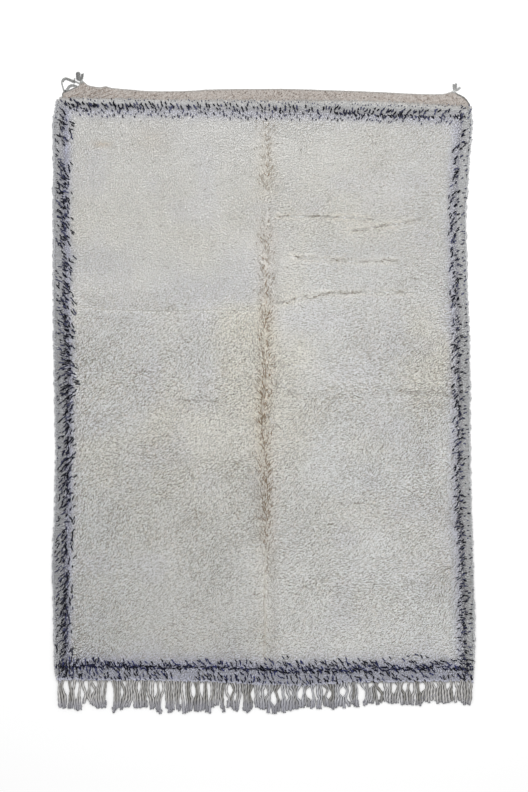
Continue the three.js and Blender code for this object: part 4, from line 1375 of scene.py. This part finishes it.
def hem_colours(x, y):
    """The hem's colours: darker in the folds as painted shade and at random in the weave, greyer at the outer
    edge, with specks and one dark spot.
    """
    # Painted shade in the folds' troughs, with a random weave tone.
    trough = 0.8 * hem_folds(x, y) + 0.4 * smooth(0.2 + hump(x, y, 5.5, 145))
    colours = dyed(HEM_WOOL_LIGHT, HEM_WOOL_DEEP, np.clip(trough, 0, 1))
    colours = dyed(colours, HEM_EDGE_WOOL, 0.8 * smooth(1.0 - (column(HEM_EDGE, x) - y) / 11.0))
    speck = chance(np.round(x / HEM_SPECK[0]), np.round(y / HEM_SPECK[1]), 146)
    crowd = mix(*SPECK_CROWD, smooth(1.0 - np.abs(x - 180.0) / 420.0))
    colours = dyed(colours, HEM_WOOL_DEEP * 0.55, 0.8 * (speck < crowd))
    colours = colours * np.exp(0.3 * (2.0 * chance(np.round(x), np.round(y), 147) - 1.0))[:, None]
    spot = np.exp(-(((x - HEM_SPOT[0]) ** 2 + (y - HEM_SPOT[1]) ** 2) / 14.0))
    return dyed(colours, HEM_SPOT_WOOL, spot)


def add_edge_cord():
    """The thick cord that the hem's outer edge is bound around, darker at the right corner."""
    places = np.stack([HEM_EDGE[:, 0], HEM_EDGE[:, 1] - 1.0, np.full(len(HEM_EDGE), 3.2)], axis=1)
    path = curve_through(places, EDGE_CORD_STEPS)
    path[:, 1] += 0.7 * hump(path[:, 0], path[:, 1], 21, 151)
    radius = mix(*EDGE_CORD_RADIUS, smooth((path[:, 0] - 870.0) / 60.0))
    points, faces, colours = yarn(path, radius, EDGE_CORD_WOOL, 20.0, sides=6, dip=0.8)[:3]
    darker = np.maximum(smooth((points[:, 0] - 905.0) / 30.0), 0.9 * smooth((-868.0 - points[:, 0]) / 20.0))
    colours = colours * mix(1.0, EDGE_CORD_DARK, darker)[:, None]
    piece = new_piece("hem_cord", points, faces, WARP_WOOL, colours)
    return piece


# ---- The fringe -------------------------------------------------------------------------------------

STRAND_RADIUS = (3.9, 6.8)  # the thinnest and the thickest strand
STRAND_INSET = 9.0          # how far inside the pile's corners the first and the last strand are rooted
STRAND_LEVEL = (5.6, 4.6)   # how high the middle of a strand lies at its root and further on
OPENING_REACH = 2.0         # an opening presses this many strands together on each side
OPENING_PUSH = 0.7          # how far it pushes the nearest one aside, as a share of its width
WAVES, WAVE_HEIGHT = 1.2, 1.6   # how often and how far a strand winds to the side
LOCK_SHARE = 0.74           # how likely a strand is to lie in one lock with the strand before it
LOCK_GATHER = 2.2           # how far a lock's strands draw together, for each step from its middle one
GATHER_START = 0.72         # the share of their length from which they do
LOCK_POINT = 6.0            # how much sooner each next strand ends than the lock's middle one
UNEVEN_ENDS, LONG_ENDS, SHORT_SHARE = 7.0, 9.0, 0.93    # how uneven the ends are; how much longer a few are
STRAND_STEPS = 26
STRAND_ROOM = 0.50          # a strand's radius as a share of the way to its nearer neighbour
STRAND_LAY = 28.0
STRAND_WOOL = linear((209, 207, 205))
STRAND_WOOL_MIDDLE = linear((201, 202, 207))
STRAND_WOOL_DARK = linear((150, 148, 143))
TIP_WOOL = linear((148, 148, 157))
TIP_WOOL_EDGE = linear((118, 118, 124))
FRAY = 14                   # loose ends at each strand's tip
FRAY_LENGTH = (10, 20)
FRAY_WIDTH = (4.5, 7.0)
FRAY_SPREAD = 0.22
FRAY_LIMIT = 7.0            # how far past a strand's tip its loose ends may reach
LYING_ENDS = 12.0           # the ends this near to that limit lie on the floor, and the others on the strands
FRINGE_TOP = 9.5            # no strand reaches higher
FELT_START = 2850.0         # how far down the strands begin to felt together, and over what length
FELT_REACH = 45.0
# The photograph's rows between which the strands run, for the openings below.
FRINGE_ROWS = (683.0, 708.0)
# The openings between strands and between bunches, from pixels read off the photograph: column, top row,
# bottom row, width.
OPENINGS = [
    (68.3, 683, 696, 3.0), (72, 683, 691, 1.8), (75.4, 684, 699, 2.8), (86, 684, 697, 3.0),
    (94, 684, 691, 3.2), (91.5, 689, 697, 1.6), (104.6, 684, 697, 1.2), (120, 689, 698, 1.4),
    (123.2, 683, 690, 1.9), (138, 687, 695, 2.3), (151, 685, 697, 2.4), (155.3, 686, 699, 2.6),
    (159.3, 686, 693, 2.2), (184.3, 686, 705, 1.6), (191.8, 687, 697, 2.8), (202.3, 685, 697, 2.4),
    (206.8, 685, 697, 2.6), (230, 687, 697, 3.3), (234, 694, 699, 1.7), (254, 690, 700, 2.5),
    (261, 693, 696, 2.0), (266, 690, 697, 2.8), (274.8, 691, 701, 3.6), (281, 688, 698, 2.8),
    (285, 689, 698, 2.4), (290, 690, 694, 2.8), (300.6, 688, 700, 3.4), (311, 689, 700, 4.6),
    (316, 688, 700, 3.0), (319.8, 689, 697, 2.2), (323.4, 688, 697, 3.2), (329.2, 693, 700, 2.9),
    (343, 690, 697, 3.7), (364.8, 684, 690, 2.2), (371.5, 684, 691, 3.0), (381.3, 683, 696, 3.8),
    (384.8, 683, 693, 2.2), (393.6, 683, 698, 2.8), (397, 683, 688, 1.6), (404.6, 685, 696, 2.8),
    (412.5, 686, 697, 3.3), (421.5, 686, 695, 3.8), (436.3, 684, 692, 2.4), (439, 684, 688, 1.8),
    (447, 685, 694, 2.6), (457.4, 686, 691, 1.6), (469, 688, 693, 1.3), (66, 690, 714, 1.4),
    (81.5, 686, 716, 2.0), (109.5, 684, 716, 5.0), (148, 686, 714, 1.6), (163.4, 686, 716, 2.2),
    (180.6, 690, 716, 1.4), (225.4, 686, 714, 2.0), (242.5, 690, 714, 1.6), (348, 686, 712, 1.6),
    (361, 684, 714, 4.5), (378, 690, 710, 1.6), (416, 688, 710, 1.6), (454, 686, 708, 1.6),
]


def strand_ends(number, off_middle):
    """How far down each strand reaches: with its bunch, a little unevenly, and less at its lock's sides."""
    ends = np.concatenate([
        mix(left_end, right_end, np.linspace(0, 1, count)) + more * np.sin(np.linspace(0, np.pi, count))
        for count, left_end, right_end, more in BUNCHES
    ])
    long_ones = chance(number, 12, 7) > SHORT_SHARE
    ends = ends + UNEVEN_ENDS * (chance(number, 7, 2) - 0.5) + LONG_ENDS * long_ones - 5.0
    return ends + 5.0 - LOCK_POINT * np.minimum(np.abs(off_middle), 2.0)


def fringe_paths():
    """The middle line of every strand: evenly rooted, pushed aside by the openings, cut with its bunch."""
    total = sum(bunch[0] for bunch in BUNCHES)
    number = np.arange(total)
    left, right = left_at(-PILE_LENGTH) + STRAND_INSET, right_at(-PILE_LENGTH) - STRAND_INSET
    roots = np.linspace(left, right, total)
    # Neighbouring strands gather into locks, which narrow towards their tips.
    lock = np.cumsum(chance(number, 15, 4) > LOCK_SHARE)
    off_middle = number - np.array([number[lock == this].mean() for this in lock])
    share = np.linspace(0, 1, STRAND_STEPS)
    row = mix(*FRINGE_ROWS, share)
    x = np.repeat(roots[:, None], STRAND_STEPS, axis=1)
    for across, top, bottom, width in OPENINGS:
        place = np.interp(from_photo(across, 0)[0], roots, number)
        away = number - np.floor(place) - 0.5
        push = OPENING_PUSH * width * PIXEL * np.sign(away) * np.exp(-(np.abs(away) - 0.5) / OPENING_REACH)
        lens = np.sin(np.pi * np.clip((row - top + 1.5) / (bottom - top + 3.0), 0.0, 1.0)) ** 0.7
        x = x + push[:, None] * lens
    waves = np.sin(2 * np.pi * (WAVES * share + chance(number, 8, 3)[:, None]))
    x = x + WAVE_HEIGHT * waves * smooth(share / 0.2)
    x = x - LOCK_GATHER * off_middle[:, None] * smooth((share - GATHER_START) / (1.0 - GATHER_START))
    y = mix((lower_edge_at(roots) + 6.0)[:, None], -strand_ends(number, off_middle)[:, None], share)
    z = mix(*STRAND_LEVEL, smooth(share / 0.3)) + 0.3 * np.sin(9 * share + number[:, None])
    return np.stack([x, y, z], axis=2)


def strand_radii(paths):
    """How thick each strand is along its length: no thicker than the room its nearer neighbour leaves it."""
    room = np.diff(paths[:, :, 0], axis=0)
    room = np.minimum(np.concatenate([room[:1], room]), np.concatenate([room, room[-1:]]))
    return np.clip(STRAND_ROOM * room, *STRAND_RADIUS)


def fringe_wool(across, rng):
    """One strand's colour: warm grey at the left, cooler towards the middle, some strands darker."""
    cool = smooth(1.0 - np.abs(across - 250.0) / 620.0)
    wool = mix(STRAND_WOOL, STRAND_WOOL_MIDDLE, cool)
    return mix(wool, STRAND_WOOL_DARK, rng.random() ** 2)


def add_strands(paths, rng):
    """The warp ends as thick plied strands."""
    forms = []
    share = np.linspace(0, 1, STRAND_STEPS)
    taper = 1.0 + 0.12 * smooth((share - 0.55) / 0.25)
    for number, (path, room) in enumerate(zip(paths, strand_radii(paths))):
        radius = room * taper * mix(0.92, 1.04, chance(number, 13, 8))
        # Painted shade: each strand dark at its sides, where it meets its neighbours, and in its plies'
        # grooves.
        points, faces, colours, bake_uv = yarn(
            path, radius, fringe_wool(path[0, 0], rng), STRAND_LAY, sides=8,
            phase=2 * np.pi * chance(number, 14, 9), groove=0.10, dip=0.76, flank=0.04, narrow=0.36,
        )
        points[:, 2] = np.minimum(points[:, 2], FRINGE_TOP)
        felted = smooth((-points[:, 1] - FELT_START) / FELT_REACH)
        colours = dyed(colours, TIP_WOOL * (colours.mean() / TIP_WOOL.mean()) ** 0.5, 0.75 * felted)
        forms.append((points, faces, colours, bake_uv))
    strands = add_forms("fringe_strands", forms, WARP_WOOL)
    return strands


def add_fringe_tips(strand_ends, rng):
    """The frayed, felted ends of the strands."""
    ends = np.repeat(strand_ends, FRAY, axis=0)
    count = len(ends)
    root = ends + np.column_stack([
        rng.uniform(-6, 6, count), rng.uniform(0, 34, count), rng.uniform(0, 4.0, count),
    ])
    spread = rng.normal(0.0, FRAY_SPREAD, count)
    length = rng.uniform(*FRAY_LENGTH, count)
    tip = root + np.column_stack([length * np.sin(spread), -length * np.cos(spread), np.zeros(count)])
    limit = ends[:, 1] - FRAY_LIMIT
    tip[:, 1] = np.maximum(tip[:, 1], limit)
    low, high = rng.uniform(0.8, 3.0, count), rng.uniform(5.0, 8.5, count)
    tip[:, 2] = np.where(tip[:, 1] - limit < LYING_ENDS, low, high)
    middle = mix(root, tip, 0.45)
    middle[:, 2] += 1.4
    wool = dyed(TIP_WOOL, STRAND_WOOL_DARK, 0.6 * rng.random(count))
    wool = dyed(wool, TIP_WOOL_EDGE, 0.8 * smooth(1.0 - (tip[:, 1] - limit) / FRAY_LIMIT))
    wool = wool * np.exp(0.10 * rng.standard_normal(count))[:, None]
    shade = np.tile([0.95, 1.0, 1.0, 1.0, 0.88], (count, 1))
    corners = spindles(root, middle, tip, rng.uniform(*FRAY_WIDTH, count), rng.uniform(-0.5, 0.5, count))
    corners[:, :, 2] = np.maximum(corners[:, :, 2], FLOOR_GAP)
    tips = add_spindles("fringe_tips", corners, wool, shade, WARP_WOOL)
    return tips


def add_heading():
    """The twined row of yarn at the strands' roots."""
    x = np.linspace(left_at(-PILE_LENGTH) + 6.0, right_at(-PILE_LENGTH) - 6.0, 300)
    y = lower_edge_at(x) - 5.0 + 1.2 * hump(x, 0 * x, 30, 161)
    places = np.column_stack([x, y, np.full(len(x), 5.2)])
    points, faces, colours = yarn(places, 3.6, STRAND_WOOL_DARK, 17.0, sides=6, dip=0.7)[:3]
    heading = new_piece("fringe_heading", points, faces, WARP_WOOL, colours)
    return heading


# ---- The corner ties --------------------------------------------------------------------------------

# The yarn's lighter and darker grey at each tie.
TIE_RADIUS = 2.9
TIE_FRAY = 7                # loose fibres at each cut end
LEFT_STEM = (-861, 83)      # where each tie's stem leaves the hem
RIGHT_STEM = (911, 38)
LEFT_GREYS = linear([(150, 151, 149), (112, 112, 112)])
RIGHT_GREYS = linear([(188, 189, 188), (150, 150, 149)])


def knot_form(place, radius, thickness, height, wool):
    """An overhand knot: a yarn that runs over and under itself three times."""
    turn = np.linspace(0.15, 2 * np.pi + 0.1, 44)
    x = place[0] + radius * (np.sin(turn) + 2 * np.sin(2 * turn)) / 3
    y = place[1] + radius * (np.cos(turn) - 2 * np.cos(2 * turn)) / 3
    z = height / 2 - (height / 2 - thickness) * np.sin(3 * turn)
    return yarn(np.stack([x, y, z], axis=1), thickness, wool, 9.0, sides=6, dip=0.75)


def loop_forms():
    """The yarns and knots that lie against the left corner's two loops."""
    forms = [knot_form(place, 3.4, 2.0, 8.5, LEFT_GREYS[1]) for place in LOOP_NODES]
    for number, places in enumerate(LOOP_MATES):
        path = curve_through([(x, y, 3.1) for x, y in places], 8 * len(places))
        wool = mix(LEFT_GREYS[0], LEFT_GREYS[1], 0.4 * (number == 0))
        forms.append(yarn(path, TIE_RADIUS, wool, 13.0, sides=8, dip=0.66))
    return forms


def end_forms(knot, ends, greys):
    """The yarns that leave a knot, each bent once and cut off, and where and which way each one ends."""
    forms, tips = [], []
    knot = np.array(knot)
    for number, (bend, tip, yarns) in enumerate(ends):
        bend, tip = np.array(bend), np.array(tip)
        run = tip - bend
        for strand in range(yarns):
            shift = (strand - (yarns - 1) / 2) * 1.7 * TIE_RADIUS
            across = np.array([-run[1], run[0]]) / np.hypot(*run) * shift
            lift = TIE_RADIUS * mix(1.0, 1.9, chance(number, strand, 171))
            places = [
                (*knot, 4.5), (*(mix(knot, bend, 0.6) + 0.6 * across), lift + 1.0),
                (*(bend + across), lift), (*(tip + across), TIE_RADIUS + 0.3),
            ]
            path = curve_through(places, 16)
            wool = mix(greys[0], greys[1], chance(number, strand, 172))
            # Painted shade at each yarn's sides and in its plies' grooves.
            forms.append(yarn(path, TIE_RADIUS, wool, 11.0, sides=8, dip=0.62, flank=0.3))
            tips.append((path[-1], path[-1] - path[-3]))
    return forms, tips


def frayed_ends(tips, rng):
    """Short loose fibres at the cut end of each yarn."""
    place = np.repeat(np.array([end for end, _ in tips]), TIE_FRAY, axis=0)
    along = np.repeat(unit(np.array([run for _, run in tips])), TIE_FRAY, axis=0)
    count = len(place)
    angle = 0.35 * rng.standard_normal(count)
    turned = np.column_stack([
        along[:, 0] * np.cos(angle) - along[:, 1] * np.sin(angle),
        along[:, 0] * np.sin(angle) + along[:, 1] * np.cos(angle),
        np.zeros(count),
    ])
    root = place - 2.0 * along
    tip = place + turned * rng.uniform(1.0, 4.0, count)[:, None]
    corners = spindles(root, mix(root, tip, 0.5), tip, np.full(count, 2.4), rng.uniform(-0.5, 0.5, count))
    corners[:, :, 2] = np.maximum(corners[:, :, 2], FLOOR_GAP)
    return corners


def add_tie(name, node, knot, ends, stem, greys, beside, rng):
    """One corner's tie: the stem drawn out of the hem, the knot, its loose ends and the forms beside it."""
    halfway = mix(np.array(stem), np.array(knot), 0.5)
    stem_path = curve_through([(*stem, 4.0), (*halfway, 4.4), (*knot, 4.6)], 8)
    stem_form = yarn(stem_path, np.linspace(8.0, 5.6, 8), greys[0], 14.0, sides=8, dip=0.75)
    yarns, tips = end_forms(knot, ends, greys)
    forms = [knot_form(knot, 4.6, 2.3, 10.0, greys[1]), *beside, stem_form, *yarns]
    piece = add_forms(name, forms, TIE_WOOL)
    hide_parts(node)
    corners = frayed_ends(tips, rng)
    shade = np.ones((len(corners), SPINDLE_CORNERS))
    wool = np.tile(greys[0], (len(corners), 1))
    fray = add_spindles(name + "_fray", corners, wool, shade, TIE_WOOL)


def add_loop(name, node, places):
    """One free cord at the left corner, laid in its loop on the floor."""
    radius = CORD_DIAMETER / 2
    path = curve_through([(x, y, radius + 0.3) for x, y in places], 30)
    points, faces, colours = yarn(path, radius * 0.98, LEFT_GREYS[0], 13.0, sides=10, dip=0.66)[:3]
    piece = new_piece(name, points, faces, TIE_WOOL, colours)
    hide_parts(node)


# ---- The rug ----------------------------------------------------------------------------------------

rng = np.random.default_rng(20)
add_loop("cord_loop_outer", "loop_outer", OUTER_LOOP)
add_loop("cord_loop_inner", "loop_inner", INNER_LOOP)
ground = add_ground()
pile = add_pile(rng)
hem = add_hem()
edge_cord = add_edge_cord()
strand_paths = fringe_paths()
strands = add_strands(strand_paths, rng)
tips = add_fringe_tips(strand_paths[:, -1], rng)
heading = add_heading()
add_tie("tie_left", "tassel_left", LEFT_KNOT, LEFT_ENDS, LEFT_STEM, LEFT_GREYS, loop_forms(), rng)
add_tie("tie_right", "tassel_right", RIGHT_KNOT, RIGHT_ENDS, RIGHT_STEM, RIGHT_GREYS, [], rng)
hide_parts("rug")
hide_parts("fringe")
